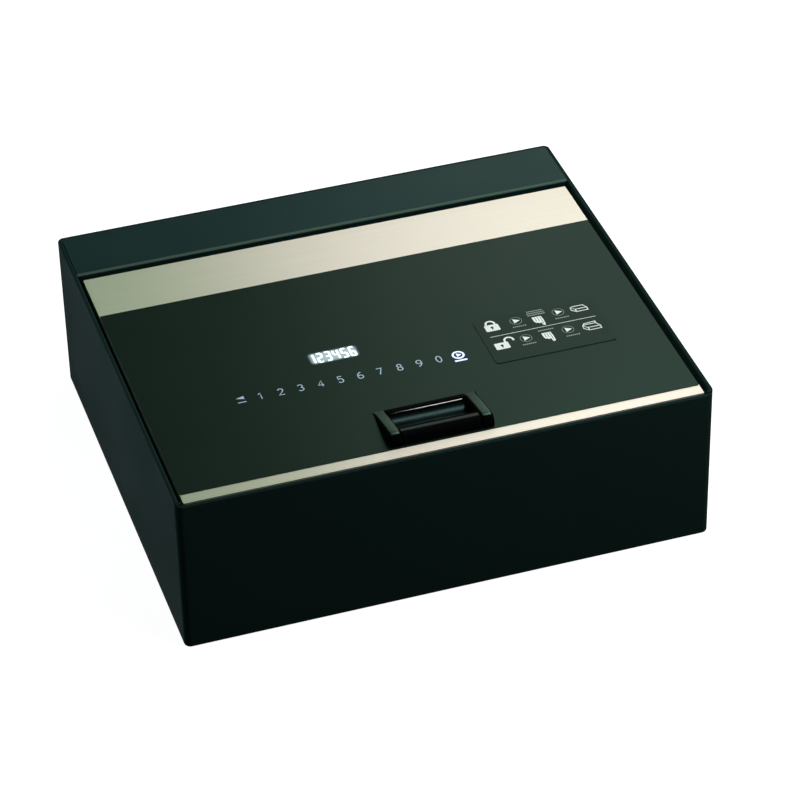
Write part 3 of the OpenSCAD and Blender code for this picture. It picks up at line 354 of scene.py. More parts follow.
def brushed_sheet():
    """Streaks along X in two widths, over a slow change of tone from green-grey on the left to cream on the
    right, which is painted shade and painted light along the lid.
    """
    material, tree, shader = blank("Anodised aluminium, brushed champagne", Metallic=0.22, Anisotropic=0.7)
    streak = blotches(tree, SCRATCH_WIDTH, SCRATCH_STRETCH, 3.0)
    band = blotches(tree, BAND_WIDTH, BAND_STRETCH, 1.0)
    faint = add(tree, "Math", {0: band, 1: BAND_SHARE}, operation="MULTIPLY")
    both = add(tree, "Math", {0: streak, 1: faint[0]}, operation="ADD")
    level = add(tree, "MapRange", {"Value": both[0], "From Min": 0.4, "From Max": 1.0})
    painted_light_drift = add(tree, "MapRange", {
        "Value": along(tree, "Object", "X"), "From Min": SHADED_GREEN_UP_TO, "From Max": LIT_CREAM_FROM},
        interpolation_type="SMOOTHSTEP")[0]
    dark, light = (
        add(tree, "Mix", {0: painted_light_drift, 6: linear(green), 7: linear(cream)}, data_type="RGBA")
        for green, cream in (("#b5c3a2", "#dfd8c7"), ("#c0cdad", "#e9e3d2")))
    tone = add(tree, "Mix", {0: level[0], 6: dark[2], 7: light[2]}, data_type="RGBA")
    rough = add(tree, "MapRange", {"Value": level[0], "To Min": 0.42, "To Max": 0.48})
    across = add(tree, "VectorTransform", {0: (0.0, 1.0, 0.0)}, vector_type="VECTOR",
                 convert_from="OBJECT", convert_to="WORLD")
    feed(tree, shader, Base_Color=tone[2], Roughness=rough[0],
         Normal=relief(tree, streak, 0.002 * MM), Tangent=across[0])
    return material


brushed_champagne = brushed_sheet()
print("scratches are", round(SCRATCH_WIDTH * SCRATCH_STRETCH[0] / MM), "mm long")

# %% [markdown]
# ## Panel and label
# The panel is acrylic painted black on its back: a satin front over a dark body. The light of the digits
# spreads in it and makes a pale field with soft edges. A lamp would need a real window, so the panel's
# material glows there instead.

# %% Back-painted acrylic and printed film
DISPLAY_AT = (-44.0 * MM, -38.8 * MM)
DISPLAY_HALF = (15.2 * MM, 3.7 * MM)
GLOW_REACH = 4.4 * MM
GLOW_DEPTH = 0.2 * MM
GLOW_STRENGTH = 0.68
panel_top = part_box("control_panel")[1].z


def panel_acrylic():
    """Satin acrylic whose emission falls off over GLOW_REACH outside the display's rectangle."""
    material, tree, shader = blank("Acrylic, back-painted black, satin front", Specular_IOR_Level=0.2,
                                   Specular_Tint=SHEEN, Emission_Color=linear("#c4dfe6"))
    colour, pattern = mottle(tree, 60 * MM, "#091410", "#0c1814")
    rough = add(tree, "MapRange", {"Value": pattern, "To Min": 0.32, "To Max": 0.37})
    place = add(tree, "TexCoord")["Object"]
    centre = (-DISPLAY_AT[0], -DISPLAY_AT[1], -panel_top)
    shifted = add(tree, "Mapping", {"Vector": place, "Location": centre})
    away = add(tree, "VectorMath", {0: shifted[0]}, operation="ABSOLUTE")
    beyond = add(tree, "VectorMath", {0: away[0], 1: (*DISPLAY_HALF, GLOW_DEPTH)}, operation="SUBTRACT")
    outside = add(tree, "VectorMath", {0: beyond[0], 1: (0, 0, 0)}, operation="MAXIMUM")
    gap = add(tree, "VectorMath", {0: outside[0]}, operation="LENGTH")
    glow = add(tree, "MapRange", {
        "Value": gap["Value"], "From Max": GLOW_REACH, "To Min": GLOW_STRENGTH, "To Max": 0.0},
        interpolation_type="SMOOTHERSTEP")
    feed(tree, shader, Base_Color=colour, Roughness=rough[0],
         Normal=relief(tree, blotches(tree, 0.5 * MM), 0.002 * MM), Emission_Strength=glow[0])
    return material


acrylic = panel_acrylic()
# The label's film is matt and as dark as the panel, so only its print and its edge stand out.
label_film = surface("Polyester film, printed and matt", "#0e1613", "#111a16", 30 * MM, 0.38, 0.03,
                     grain=0.4 * MM, depth=0.002 * MM, Specular_IOR_Level=0.18, Specular_Tint=SHEEN)
label_ink = surface("Screen-printed ink, pale", "#ecf5f0", "#f6fdf9", 2 * MM, 0.6)
faint_ink = surface("Screen-printed ink, small print", "#8c9f96", "#9aada4", 1.5 * MM, 0.6)
print("glow centre", DISPLAY_AT)

# %% [markdown]
# ## Handle mouldings
# The handle is black ABS. Hands rub the satin cheeks smoother towards the nose, so their roughness runs from
# rear to front. The bar is fine satin. The nose, the outer sides and the bar's rear edge get a darker matt copy
# instead, as painted shade, and the lip is matt black too. The polished scoop mirrors the room, and its
# lacquered rim catches one sharp line of light.

# %% Finishes of the handle
MOULD_GRAIN = {"grain": 0.35 * MM, "depth": 0.003 * MM}
POLISHED_WAVE = {"grain": 2.5 * MM, "depth": 0.002 * MM}
RUBBED_FRONT = 14.0 * MM
cheek_low, cheek_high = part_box("handle_cheeks")


def rubbed_moulding(rear_y, front_y):
    """Satin plastic that hands have rubbed smoother from the rear to the front."""
    material, tree, shader = blank("ABS, moulded black, satin, rubbed", Specular_IOR_Level=0.3,
                                   Specular_Tint=linear("#acffd8"))
    colour, _ = mottle(tree, 20 * MM, "#0c1512", "#0f1815")
    rough = add(tree, "MapRange", {
        "Value": along(tree, "Object", "Y"), "From Min": front_y, "From Max": rear_y,
        "To Min": 0.35, "To Max": 0.52}, interpolation_type="SMOOTHSTEP")
    fine = relief(tree, blotches(tree, MOULD_GRAIN["grain"]), MOULD_GRAIN["depth"])
    feed(tree, shader, Base_Color=colour, Roughness=rough[0], Normal=fine)
    return material


satin_moulding = rubbed_moulding(cheek_high.y, cheek_low.y + RUBBED_FRONT)
bar_moulding = surface("ABS, moulded black, fine satin", "#050706", "#070908", 20 * MM, 0.34, 0.03,
                       Specular_IOR_Level=0.16, Specular_Tint=linear("#c8ffec"), **MOULD_GRAIN)
# This dark matt copy is the lip's own finish, and painted shade where it covers the handle's nose, outer sides
# and the bar's rear edge.
matt_shade_moulding = surface("ABS, moulded black, matt lip", "#020303", "#040605", 20 * MM, 0.6, 0.03,
                       Specular_IOR_Level=0.012, **MOULD_GRAIN)
gloss_moulding = surface("ABS, moulded black, polished", "#020303", "#040505", 20 * MM, 0.2, 0.03,
                         Specular_IOR_Level=0.33, Specular_Tint=linear("#b6f6f4"), **POLISHED_WAVE)
rim_moulding = surface("ABS, moulded black, lacquered rim", "#020303", "#040505", 20 * MM, 0.14, 0.02,
                       Specular_IOR_Level=1.0, Coat_Weight=1.0, Coat_Roughness=0.08, Coat_IOR=1.85,
                       **POLISHED_WAVE)
print("cheeks rubbed from y =", round(cheek_high.y, 4))

# %% [markdown]
# ## Plastics, rubber, felt and boards inside
# Spark-grained ABS is dull, nylon is milky, rubber soaks up light, and the fibres of needle felt lighten it
# at a flat angle. A board shows tracks, which a brick pattern gives more simply than a drawn layout.

# %% Plastics and soft materials
case_moulding = surface("ABS, moulded black, fine spark grain", "#1b1e1d", "#222524", 12 * MM, 0.5, 0.05,
                        grain=0.5 * MM, depth=0.015 * MM)
nylon = surface("Nylon, moulded natural", "#cfccbd", "#dad7ca", 4 * MM, 0.42, 0.05, Subsurface_Weight=0.1)
display_case = surface("Polycarbonate display block, moulded white", "#d9dbd8", "#e6e7e4", 6 * MM, 0.4, 0.04)
rubber = surface("Rubber, moulded buffer", "#131313", "#1a1a1a", 4 * MM, 0.75, 0.05,
                 grain=0.3 * MM, depth=0.01 * MM)
felt = surface("Polyester needle felt", "#26292c", "#3a3e42", 1.2 * MM, 0.95, 0.03,
               grain=0.35 * MM, depth=0.25 * MM, Sheen_Weight=0.35, Sheen_Roughness=0.6)
# Shrink wrap is a smooth printed film, so the cells shine along their length.
cell_wrap = surface("Battery cell in printed shrink wrap", "#8a5f1e", "#9a6c27", 9 * MM, 0.3, 0.04)


def solder_mask():
    """Green board: brick-like cells stand for the copper tracks that show through the lacquer."""
    material, tree, shader = blank("Fibreglass circuit board, green solder mask", Roughness=0.28)
    place = add(tree, "TexCoord")["Object"]
    track = add(tree, "TexBrick", {
        "Vector": place, "Color1": linear("#0f5a33"), "Color2": linear("#126238"),
        "Mortar": linear("#2c8a55"), "Scale": 1.0, "Mortar Size": 0.25 * MM,
        "Brick Width": 5.1 * MM, "Row Height": 2.3 * MM})
    lift = add(tree, "Bump", {"Height": track["Fac"], "Distance": 0.03 * MM, "Strength": 0.6})
    feed(tree, shader, Base_Color=track["Color"], Normal=lift[0])
    return material


board_green = solder_mask()
print("materials:", len(bpy.data.materials))

# %% [markdown]
# ## Light that comes from inside
# The touch digits are lit from below through clear windows in the panel's paint, and the display's segments
# are lamps behind it. Both are drawn as thin flush shapes that give off light, which looks the same and
# needs no glass.

# %% Lit legends and segments
def lit(name, code, strength):
    """A diffuser window: pale plastic that gives off light, a little uneven over a few millimetres."""
    material, tree, shader = blank(name, Roughness=0.4)
    colour, pattern = mottle(tree, 4 * MM, code, code)
    glow = add(tree, "MapRange", {
        "Value": pattern, "From Min": NOISE_LOW, "From Max": NOISE_HIGH,
        "To Min": 0.8 * strength, "To Max": 1.1 * strength})
    feed(tree, shader, Base_Color=colour, Emission_Color=colour, Emission_Strength=glow[0])
    return material


key_light = lit("Backlit window, touch digit", "#8ea6b4", 0.5)
start_light = lit("Backlit window, start key", "#c4d2ee", 1.0)
segment_light = lit("Lit display segment", "#e9fbff", 1.0)
print("materials in all:", len(bpy.data.materials))

# %% [markdown]
# ## Finishes for the solids
# Solids whose shape is already right keep it, and only get their material.

# %% Put materials on the solids
FINISH = {
    tub_coat: ["body_shell"], deck_coat: ["rear_deck"], frame_coat: ["lid_rest_frame", "lid_plate"],
    case_coat: ["inner_cover"], rubber: ["rest_buffers"], felt: ["floor_mat"],
    zinc_plate: ["hinge_bracket_left", "hinge_bracket_right", "hinge_leaf_left", "hinge_leaf_right",
                 "bolt_guide_left", "bolt_guide_right", "bolt_crossbar"],
    screw_zinc: ["bracket_nuts", "handle_screws", "hinge_leaf_screws", "inner_cover_screws",
                 "crossbar_screws"],
    ground_steel: ["hinge_pin_left", "hinge_pin_right", "locking_bolt_left", "locking_bolt_right"],
    spring_steel: ["torsion_spring_left", "torsion_spring_right"], brass: ["drive_rack", "drive_pinion"],
    motor_can: ["lock_motor"], nickel: ["battery_contacts"], brushed_champagne: ["cover_sheet"],
    acrylic: ["control_panel"], label_film: ["instruction_label"], display_case: ["display_module"],
    board_green: ["touch_board", "control_board"], nylon: ["board_spacers"], cell_wrap: ["battery_cells"],
    satin_moulding: ["handle_cheeks"], gloss_moulding: ["grip_bar", "finger_scoop"],
    case_moulding: ["gearbox_case", "battery_tray", "battery_door"],
}
for material, names in FINISH.items():
    for name in names:
        nodes[name].data.materials.clear()
        nodes[name].data.materials.append(material)
print("solids without a finish:", sorted(set(nodes) - set(sum(FINISH.values(), []))))

# %% [markdown]
# ## Meshes from numbers
# A shape here is a closed section carried through a row of stations. It could be modelled by hand, but as an
# array every size stays a number. All points are worked out at once, and the faces follow from their
# numbers.

# %% Grid faces and carried sections
def quad_grid(rows, columns):
    """Quads of a grid whose last column joins the first. Row r, column c is point r * columns + c."""
    r = np.arange(rows - 1)[:, None]
    c = np.arange(columns)[None, :]
    beside = (c + 1) % columns
    corners = (r * columns + c, r * columns + beside, (r + 1) * columns + beside, (r + 1) * columns + c)
    return np.stack(np.broadcast_arrays(*corners), -1).reshape(-1, 4)


def carried(rings):
    """Stations x section x 3 points, as walls between neighbouring rings and a flat face at each end."""
    stations, count, _ = rings.shape
    first = np.arange(count)
    last = first + (stations - 1) * count
    return rings.reshape(-1, 3), [*quad_grid(stations, count), first[::-1], last]


def slab(outline, low, high):
    """A flat shape: its outline at the heights low and high."""
    outline = np.asarray(outline, float)
    ends = [np.column_stack([outline, np.full(len(outline), z)]) for z in (low, high)]
    return carried(np.stack(ends))


def arc(x, y, rx, ry, start, stop, count=14):
    """Points on an ellipse between two angles in degrees: the middle plus rx * cos and ry * sin."""
    a = np.radians(np.linspace(start, stop, count))
    return np.column_stack([x + rx * np.cos(a), y + ry * np.sin(a)])


print("a square slab has", len(slab(arc(0, 0, 1, 1, 0, 270, 4), 0, 1)[1]), "faces")

# %% [markdown]
# ## Lines of even width
# Digits and signs are thin printed lines. A curve object with a bevel would do, but the export needs a mesh,
# so a line is widened here to both sides.

# %% Strokes
LEAST_PRODUCT = -0.2


def stroke(points, width, low, high):
    """A flat line of even width. Each point moves half the width to both sides, along the sum of its two
    neighbours' normals divided by 1 + their dot product, which keeps the width through a bend. The product
    is held over LEAST_PRODUCT, or a sharp corner would run far out."""
    points = np.asarray(points, float)
    step = np.diff(points, axis=0)
    side = np.column_stack([-step[:, 1], step[:, 0]]) / np.linalg.norm(step, axis=1, keepdims=True)
    closed = np.allclose(points[0], points[-1])
    before = np.vstack([side[-1:] if closed else side[:1], side])
    after = np.vstack([side, side[:1] if closed else side[-1:]])
    turn = np.clip((before * after).sum(1, keepdims=True), LEAST_PRODUCT, 1)
    offset = (before + after) / (1 + turn) * width / 2
    flat = np.stack([points + offset, points - offset, points - offset, points + offset], 1)
    heights = np.broadcast_to([[[low], [low], [high], [high]]], (len(points), 4, 1))
    return carried(np.concatenate([flat, heights], -1))


print("a stroke has", len(stroke([(0, 0), (1, 0)], 0.1, 0, 1)[0]), "points")

# %% [markdown]
# ## Finished pieces
# Every new mesh ends in the same way: its faces point outward, it is smooth but for real edges, it gets its
# material, the solids that it stands for are hidden, and, if it has a body, it is attached to it.

# %% From shapes to pieces
EDGE_ANGLE = 35
SAME_POINT = 0.002 * MM
SAME_PLANE = math.radians(0.5)


def settle(mesh, sharp=EDGE_ANGLE, merged=False):
    """Turns faces outward and shades them smooth, but for edges over `sharp` degrees. With merged, points
    that coincide are joined first, and the triangles of a plane become one face."""
    work = bmesh.new()
    work.from_mesh(mesh)
    if merged:
        bmesh.ops.remove_doubles(work, verts=work.verts, dist=SAME_POINT)
        bmesh.ops.dissolve_limit(work, angle_limit=SAME_PLANE, verts=work.verts, edges=work.edges)
    bmesh.ops.recalc_face_normals(work, faces=work.faces)
    work.to_mesh(mesh)
    work.free()
    mesh.shade_smooth()
    mesh.set_sharp_from_angle(angle=math.radians(sharp))


def round_edges(made, width, segments):
    """Bevels the edges over EDGE_ANGLE degrees."""
    rounding = made.modifiers.new("rounded edges", "BEVEL")
    rounding.width = width
    rounding.segments = segments
    rounding.limit_method = "ANGLE"
    rounding.angle_limit = math.radians(EDGE_ANGLE)
    rounding.harden_normals = True


def piece(name, shapes, material, replaced=(), body="lid", bevel=0.0, sharp=EDGE_ANGLE):
    """Joins shapes into one object that rides on a body, or on none yet."""
    starts = np.cumsum([0] + [len(points) for points, _ in shapes])
    faces = [(face + start).tolist() for start, (_, shape) in zip(starts, shapes) for face in shape]
    mesh = bpy.data.meshes.new(name)
    mesh.from_pydata(np.concatenate([points for points, _ in shapes]), [], faces)
    settle(mesh, sharp)
    mesh.materials.append(material)
    made = placed(name, mesh)
    if bevel:
        round_edges(made, bevel, segments=3)
    if replaced:
        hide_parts(*replaced)
    if body:
        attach(made, body)
    print(name, len(mesh.vertices), "points")
    return made


# %% [markdown]
# ## Edges of pressed and moulded pieces
# The CAD's solids have knife-sharp edges. Pressed sheet and mouldings have small radii that catch the light,
# so these pieces are copied, their triangles are joined to flat faces, and a narrow bevel rounds what is
# left.

# %% Round the edges
def softened(name, width):
    """A copy of a solid whose edges are rounded by `width` metres."""
    mesh = nodes[name].data.copy()
    settle(mesh, merged=True)
    made = placed(f"{name}_rounded", mesh)
    round_edges(made, width, segments=2)
    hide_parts(name)
    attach(made, body_of(nodes[name])[0])
    print(made.name, "with", round(width / MM, 2), "mm edges")


softened("inner_cover", 0.6 * MM)
softened("battery_door", 0.22 * MM)
softened("gearbox_case", 0.4 * MM)
softened("battery_tray", 0.4 * MM)

# %% [markdown]
# ## Digits
# Each digit is a few lines and arcs in a box one unit high: slim on the keys, and seven bars on the display.
# A font would bring its own shapes, so both are strokes of even width. Their tops stand 0.03 mm out of the
# panel, so that they show.

# %% Shapes of the digits
SIX = np.vstack([arc(0.42, 0.33, 0.42, 0.67, 88, 180), arc(0.26, 0.28, 0.26, 0.28, 180, 540, 24)])
DIGITS = {
    "0": [arc(0.26, 0.5, 0.26, 0.5, 90, 450, 28)],
    "1": [[(0.06, 0.78), (0.28, 1.0), (0.28, 0.0)]],
    "2": [np.vstack([arc(0.26, 0.73, 0.25, 0.27, 165, -25), [(0.0, 0.0), (0.54, 0.0)]])],
    "3": [arc(0.24, 0.75, 0.24, 0.25, 150, -80), arc(0.24, 0.26, 0.27, 0.26, 85, -150)],
    "4": [[(0.4, 0.0), (0.4, 1.0), (0.0, 0.28), (0.56, 0.28)]],
    "5": [np.vstack([[(0.48, 1.0), (0.08, 1.0), (0.04, 0.52)], arc(0.25, 0.31, 0.27, 0.31, 125, -150)])],
    "6": [SIX],
    "7": [[(0.0, 1.0), (0.52, 1.0), (0.16, 0.0)]],
    "8": [arc(0.26, 0.76, 0.21, 0.24, -90, 270, 24), arc(0.26, 0.26, 0.26, 0.26, 90, 450, 24)],
    "9": [np.array([0.52, 1.0]) - SIX],
}
SEGMENTS = {"a": [(0, 1), (1, 1)], "b": [(1, 1), (1, 0.5)], "c": [(1, 0.5), (1, 0)], "d": [(0, 0), (1, 0)],
            "e": [(0, 0.5), (0, 0)], "f": [(0, 1), (0, 0.5)], "g": [(0, 0.5), (1, 0.5)]}
LIT_SEGMENTS = {"1": "bc", "2": "abged", "3": "abgcd", "4": "fgbc", "5": "afgcd", "6": "afgedc"}
print("digits:", "".join(DIGITS), "on the display:", "".join(LIT_SEGMENTS))

# %% Touch digits
KEY_PITCH = 15.0 * MM
KEY_FIRST_X = -123.2 * MM
KEY_Y = -69.5 * MM
DIGIT_HEIGHT = 7.3 * MM
DIGIT_WIDTH = 0.52 * DIGIT_HEIGHT
KEY_STROKE = 0.85 * MM
FLUSH_LOW = -0.02 * MM
FLUSH_HIGH = 0.03 * MM
low, high = panel_top + FLUSH_LOW, panel_top + FLUSH_HIGH

keys = []
for number, digit in enumerate("1234567890", start=1):
    corner = np.array([KEY_FIRST_X + number * KEY_PITCH - DIGIT_WIDTH / 2, KEY_Y - DIGIT_HEIGHT / 2])
    paths = [corner + DIGIT_HEIGHT * np.asarray(path) for path in DIGITS[digit]]
    keys += [stroke(path, KEY_STROKE, low, high) for path in paths]
back_key = np.array([KEY_FIRST_X, KEY_Y + 2.3 * MM])
keys.append(slab(back_key + MM * np.array([(3.0, -1.9), (3.0, 1.9), (-3.2, 0.0)]), low, high))
keys.append(stroke(back_key + MM * np.array([(-2.8, -5.2), (3.6, -5.2)]), 0.9 * MM, low, high))
piece("touch_digits", keys, key_light)

# %% Start key
RING_RADIUS = 4.0 * MM
RING_STROKE = 1.5 * MM
BAR_STROKE = 1.7 * MM
start_key = np.array([KEY_FIRST_X + 11 * KEY_PITCH, KEY_Y + 0.3 * MM])
ring = arc(*start_key, RING_RADIUS, RING_RADIUS, 0, 360, 40)
arrow_outline = start_key + MM * np.array([(-1.3, 2.3), (-1.3, -2.3), (2.5, 0.0)])
underline = start_key + MM * np.array([(-4.7, -6.9), (4.7, -6.9)])
start_parts = [stroke(ring, RING_STROKE, low, high), slab(arrow_outline, low, high),
               stroke(underline, BAR_STROKE, low, high)]
piece("start_key", start_parts, start_light)

# %% Display segments
SEGMENT_HEIGHT = 10.6 * MM
SEGMENT_WIDTH = 3.3 * MM
SEGMENT_PITCH = 6.2 * MM
SEGMENT_STROKE = 1.7 * MM
ROW_SHIFT = -1.0 * MM
segment_box = np.array([SEGMENT_WIDTH, SEGMENT_HEIGHT])
row_middle = (len(LIT_SEGMENTS) - 1) / 2

lamps = []
for number, letters in enumerate(LIT_SEGMENTS.values()):
    x = DISPLAY_AT[0] + ROW_SHIFT + (number - row_middle) * SEGMENT_PITCH
    corner = np.array([x, DISPLAY_AT[1]]) - segment_box / 2
    bars = [corner + segment_box * np.array(SEGMENTS[letter]) for letter in letters]
    lamps += [stroke(bar, SEGMENT_STROKE, low, high) for bar in bars]
piece("display_digits", lamps, segment_light)

# %% [markdown]
# ## Printed pictures on the label
# In two rows of small pictures the label shows how to lock and unlock: padlock, key, hand, key and safe.
# They are drawn as plain generic signs, and small print as rows of short dashes. An image would blur up
# close, so each sign is a thin flush shape, placed in millimetres from the print's middle.

# %% Print on the label
PRINT_SHIFT = np.array([0.5, 1.3])
OVERPRINT = 0.02 * MM
label_low, label_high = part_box("instruction_label")
label_mid = np.array([(label_low.x + label_high.x) / 2, (label_low.y + label_high.y) / 2])
print_low, print_high = label_high.z + FLUSH_LOW, label_high.z + FLUSH_HIGH


def at(points):
    """Millimetres from the print's middle, as places on the lid."""
    return label_mid + MM * (np.asarray(points, float) + PRINT_SHIFT)


def line(points, width, raised=0.0):
    """A printed line on the label, or within a printed area if it is raised over it."""
    return stroke(at(points), width * MM, print_low, print_high + raised)


def area(points, raised=0.0):
    """A printed area on the label, or within another if it is raised over it."""
    return slab(at(points), print_low, print_high + raised)


print("label's middle", label_mid.round(4))

# %% Signs of the label
def frame_of(x, y, w, h, r=1.0):
    """Outline of a rectangle from its middle, with a quarter circle of radius r at each corner."""
    return np.vstack([arc(x + sx * (w / 2 - r), y + sy * (h / 2 - r), r, r, a, a + 90, 5)
                      for sx, sy, a in ((1, 1, 0), (-1, 1, 90), (-1, -1, 180), (1, -1, 270))])


def arrow(x, y):
    """A filled arrow that points right."""
    return area([(x - 1.9, y + 2.8), (x - 1.9, y - 2.8), (x + 3.2, y)])


def dashes(x, y, count, width=1.15, gap=0.4, thickness=1.1):
    """Small print: a row of short dashes, from its middle."""
    first = x - (count - 1) * (width + gap) / 2
    starts = first + np.arange(count) * (width + gap)
    return [line([(s - width / 2, y), (s + width / 2, y)], thickness) for s in starts]


def padlock(x, y, opened):
    """A filled body with a bow. The bow of the open one stands beside the body."""
    bow_x = x + (6.9 if opened else 0.0)
    base = y + (3.2 if opened else 2.8)
    half_circle = arc(bow_x, base + 1.7, 3.3, 3.3, 180, 0)
    bow = np.vstack([[(bow_x - 3.3, base)], half_circle, [(bow_x + 3.3, base + 0.2)]])
    return [area(frame_of(x, y - 0.6, 10.8, 8.0)), line(bow, 1.6)]


def hand(x, y):
    """A closed hand that points down with one finger."""
    palm = [(-3.8, 6.0), (3.4, 6.0), (3.9, 1.0), (3.7, -5.0), (2.6, -6.2), (1.5, -5.2), (1.1, -1.6),
            (0.2, -2.6), (-0.9, -2.4), (-1.3, -1.4), (-2.6, -1.6), (-3.6, 0.6)]
    return area(np.array([(x, y)]) + palm)


def small_safe(x, y, opened, scale):
    """The front, the left side and the top in outline, and the lid if it is raised."""
    lines = [[(-3.2, -2.4), (7.0, -2.4), (7.0, 1.2), (-3.2, 1.2), (-3.2, -2.4)],
             [(-3.2, -2.4), (-6.8, 0.6), (-6.8, 4.2), (-3.2, 1.2)],
             [(-6.8, 4.2), (-4.4, 5.4), (4.6, 5.4), (7.0, 1.2)]]
    if opened:
        lines.append([(-6.8, 4.2), (-4.6, 7.0), (4.8, 7.8), (4.6, 5.4)])
    return [line(np.array([(x, y)]) + scale * np.array(shape), 0.75) for shape in lines]


print("a padlock has", len(padlock(0, 0, False)), "shapes")

# %% Two rows of signs
ARROWS = ((-16.4, 16.9), (16.9, 17.2), (-16.6, -6.2), (16.2, -6.1))
HANDS = ((-0.3, 10.9), (-0.4, -10.4))
ROW_LINE = ((-41.0, 3.3), (41.6, 3.3))
signs = padlock(-35.7, 14.9, False) + padlock(-36.2, -9.0, True)
signs += [arrow(*place) for place in ARROWS] + [hand(*place) for place in HANDS]
signs += small_safe(33.0, 15.3, False, 0.88) + small_safe(34.0, -9.8, True, 0.93)
signs.append(line(ROW_LINE, 0.45))
piece("label_signs", signs, label_ink)

# %% Small print
KEY_RING = 4.4
DASH_ROWS = ((-16.0, 9.6, 7), (17.5, 9.6, 7), (-16.5, -13.6, 7), (17.5, -14.0, 7), (0.6, -1.0, 8),
             (0.6, 24.6, 8), (0.6, 22.2, 9), (0.6, 19.8, 9))
small_print = [line(arc(x, y, KEY_RING, KEY_RING, 0, 360, 32), 0.3) for x, y in ARROWS]
for row in DASH_ROWS:
    small_print += dashes(*row)
piece("label_small_print", small_print, faint_ink)

# %% Keyholes and fingers, bare film over the print
KEYHOLES = ((-35.7, 14.1), (-36.2, -9.8))
FINGER_GAPS = ((-1.9, 0.4), (0.2, -0.2), (2.3, -3.8))
keyholes = []
for x, y in KEYHOLES:
    slot_outline = [(x - 0.5, y + 0.6), (x - 0.6, y - 1.8), (x + 0.6, y - 1.8), (x + 0.5, y + 0.6)]
    keyholes += [area(arc(x, y + 0.8, 1.1, 1.1, 0, 330, 12), OVERPRINT), area(slot_outline, OVERPRINT)]
for x, y in HANDS:
    keyholes += [line([(x + a, y + 5.4), (x + a + 0.2, y + b)], 0.4, OVERPRINT) for a, b in FINGER_GAPS]
piece("label_keyholes", keyholes, label_film)

# %% [markdown]
# ## Pull handle
# One black moulding: a hood that rises from the rear edge and rolls over a round nose to the front face,
# with two satin cheeks. Its side view is a slightly bulged slope that meets the nose circle at a tangent,
# and it shrinks towards each end. A bevel would round all edges alike, not only the ends.

# %% Side view of the hood
bar_low, bar_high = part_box("grip_bar")
HOOD_DEPTH = cheek_high.y - cheek_low.y
HOOD_HEIGHT = cheek_high.z - cheek_low.z
NOSE_RADIUS = 7.0 * MM
NOSE_HEIGHT = HOOD_HEIGHT - NOSE_RADIUS
NOSE_POINTS = 18
SLOPE_POINTS = 14
SLOPE_BULGE = 0.7 * MM
ROUNDING_STEPS = 6


def hood_curve():
    """From the front foot to the nose, round it to the tangent point, then down the slope to the rear foot.
    The tangent leaves the rear foot at the angle to the nose's middle less asin(radius / distance), and is as
    long as the root of distance squared less radius squared. The bulge is 4 * SLOPE_BULGE * u * (1 - u)."""
    across, rise = NOSE_RADIUS - HOOD_DEPTH, NOSE_HEIGHT
    rear_foot = np.array([HOOD_DEPTH, 0.0])
    reach = math.hypot(across, rise)
    angle = math.atan2(rise, across) - math.asin(NOSE_RADIUS / reach)
    length = math.sqrt(reach**2 - NOSE_RADIUS**2)
    tip = rear_foot + length * np.array([math.cos(angle), math.sin(angle)])
    top = math.degrees(math.atan2(tip[1] - NOSE_HEIGHT, tip[0] - NOSE_RADIUS))
    nose = arc(NOSE_RADIUS, NOSE_HEIGHT, NOSE_RADIUS, NOSE_RADIUS, 180, top, NOSE_POINTS)
    u = np.linspace(0, 1, SLOPE_POINTS)[1:, None]
    slope = tip * (1 - u) + rear_foot * u
    slope[:, 1:] += SLOPE_BULGE * 4 * u * (1 - u)
    return np.vstack([[(0.0, 0.0)], nose, slope])


def outward(curve):
    """Unit normals of an open curve that runs from front to rear over the top: its direction, turned left."""
    ahead = np.gradient(curve, axis=0)
    return np.column_stack([-ahead[:, 1], ahead[:, 0]]) / np.linalg.norm(ahead, axis=1, keepdims=True)


def on_lid(rings):
    """A shape given from the hood's front foot, carried to its place on the lid."""
    return carried(rings + np.array([0.0, cheek_low.y, cheek_low.z]))


def rounded_block(curve, x_low, x_high, radius, lowest=0.0):
    """The curve carried along X with a quarter-round at both ends: at radius * (1 - cos t) from an end, the
    curve is moved inwards by radius * (1 - sin t)."""
    turn = np.linspace(0, math.pi / 2, ROUNDING_STEPS)
    inset = radius * (1 - np.sin(turn))
    shift = radius * (1 - np.cos(turn))
    x = np.concatenate([x_low + shift, (x_high - shift)[::-1]])
    inset = np.concatenate([inset, inset[::-1]])
    shrunk = curve[None] - outward(curve)[None] * inset[:, None, None]
    shrunk[..., 1] = np.clip(shrunk[..., 1], lowest, None)
    stations = np.broadcast_to(x[:, None, None], (len(x), len(curve), 1))
    return on_lid(np.concatenate([stations, shrunk], -1))


hood = hood_curve()
print("hood", round(HOOD_DEPTH, 4), "deep and", round(HOOD_HEIGHT, 4), "high")

# %% [markdown]
# ## Painted shade on the nose and sides
# The nose, the outer sides and the bar's rear edge get a second, darker and matt material, as painted shade
# where little light falls. A second material on those faces is simpler than a mask.

# %% Cheeks, rear lip and rim of the scoop
CHEEK_ROUNDING = 2.2 * MM
CHEEK_GAP = 0.15 * MM
LIP_FRONT = 39.8 * MM
LIP_TOP = 0.6 * MM
LIP_SLOPE = 1.2 * MM
LIP_OVERLAP = 0.5 * MM
LIP_ROUNDING = 0.05 * MM
RIM_RADIUS = 0.8 * MM
RIM_AT = (39.0 * MM, -0.9 * MM)
RIM_SPAN = (-26.6 * MM, 27.6 * MM)
RIM_ROUNDING = 0.5 * MM
# Where the painted shade begins on the cheeks' noses.
NOSE_SHADE_BORDER = 4.0 * MM


def shade_beyond(made, material, front, rear=1.0, sideways=0.4):
    """Gives a second, darker material, painted shade, to the faces before the Y value `front` and behind
    `rear`, and to those that look more than `sideways` along X."""
    mesh = made.data
    mesh.materials.append(material)
    for face in mesh.polygons:
        beyond = face.center.y < front or face.center.y > rear
        face.material_index = int(beyond or abs(face.normal.x) > sideways)


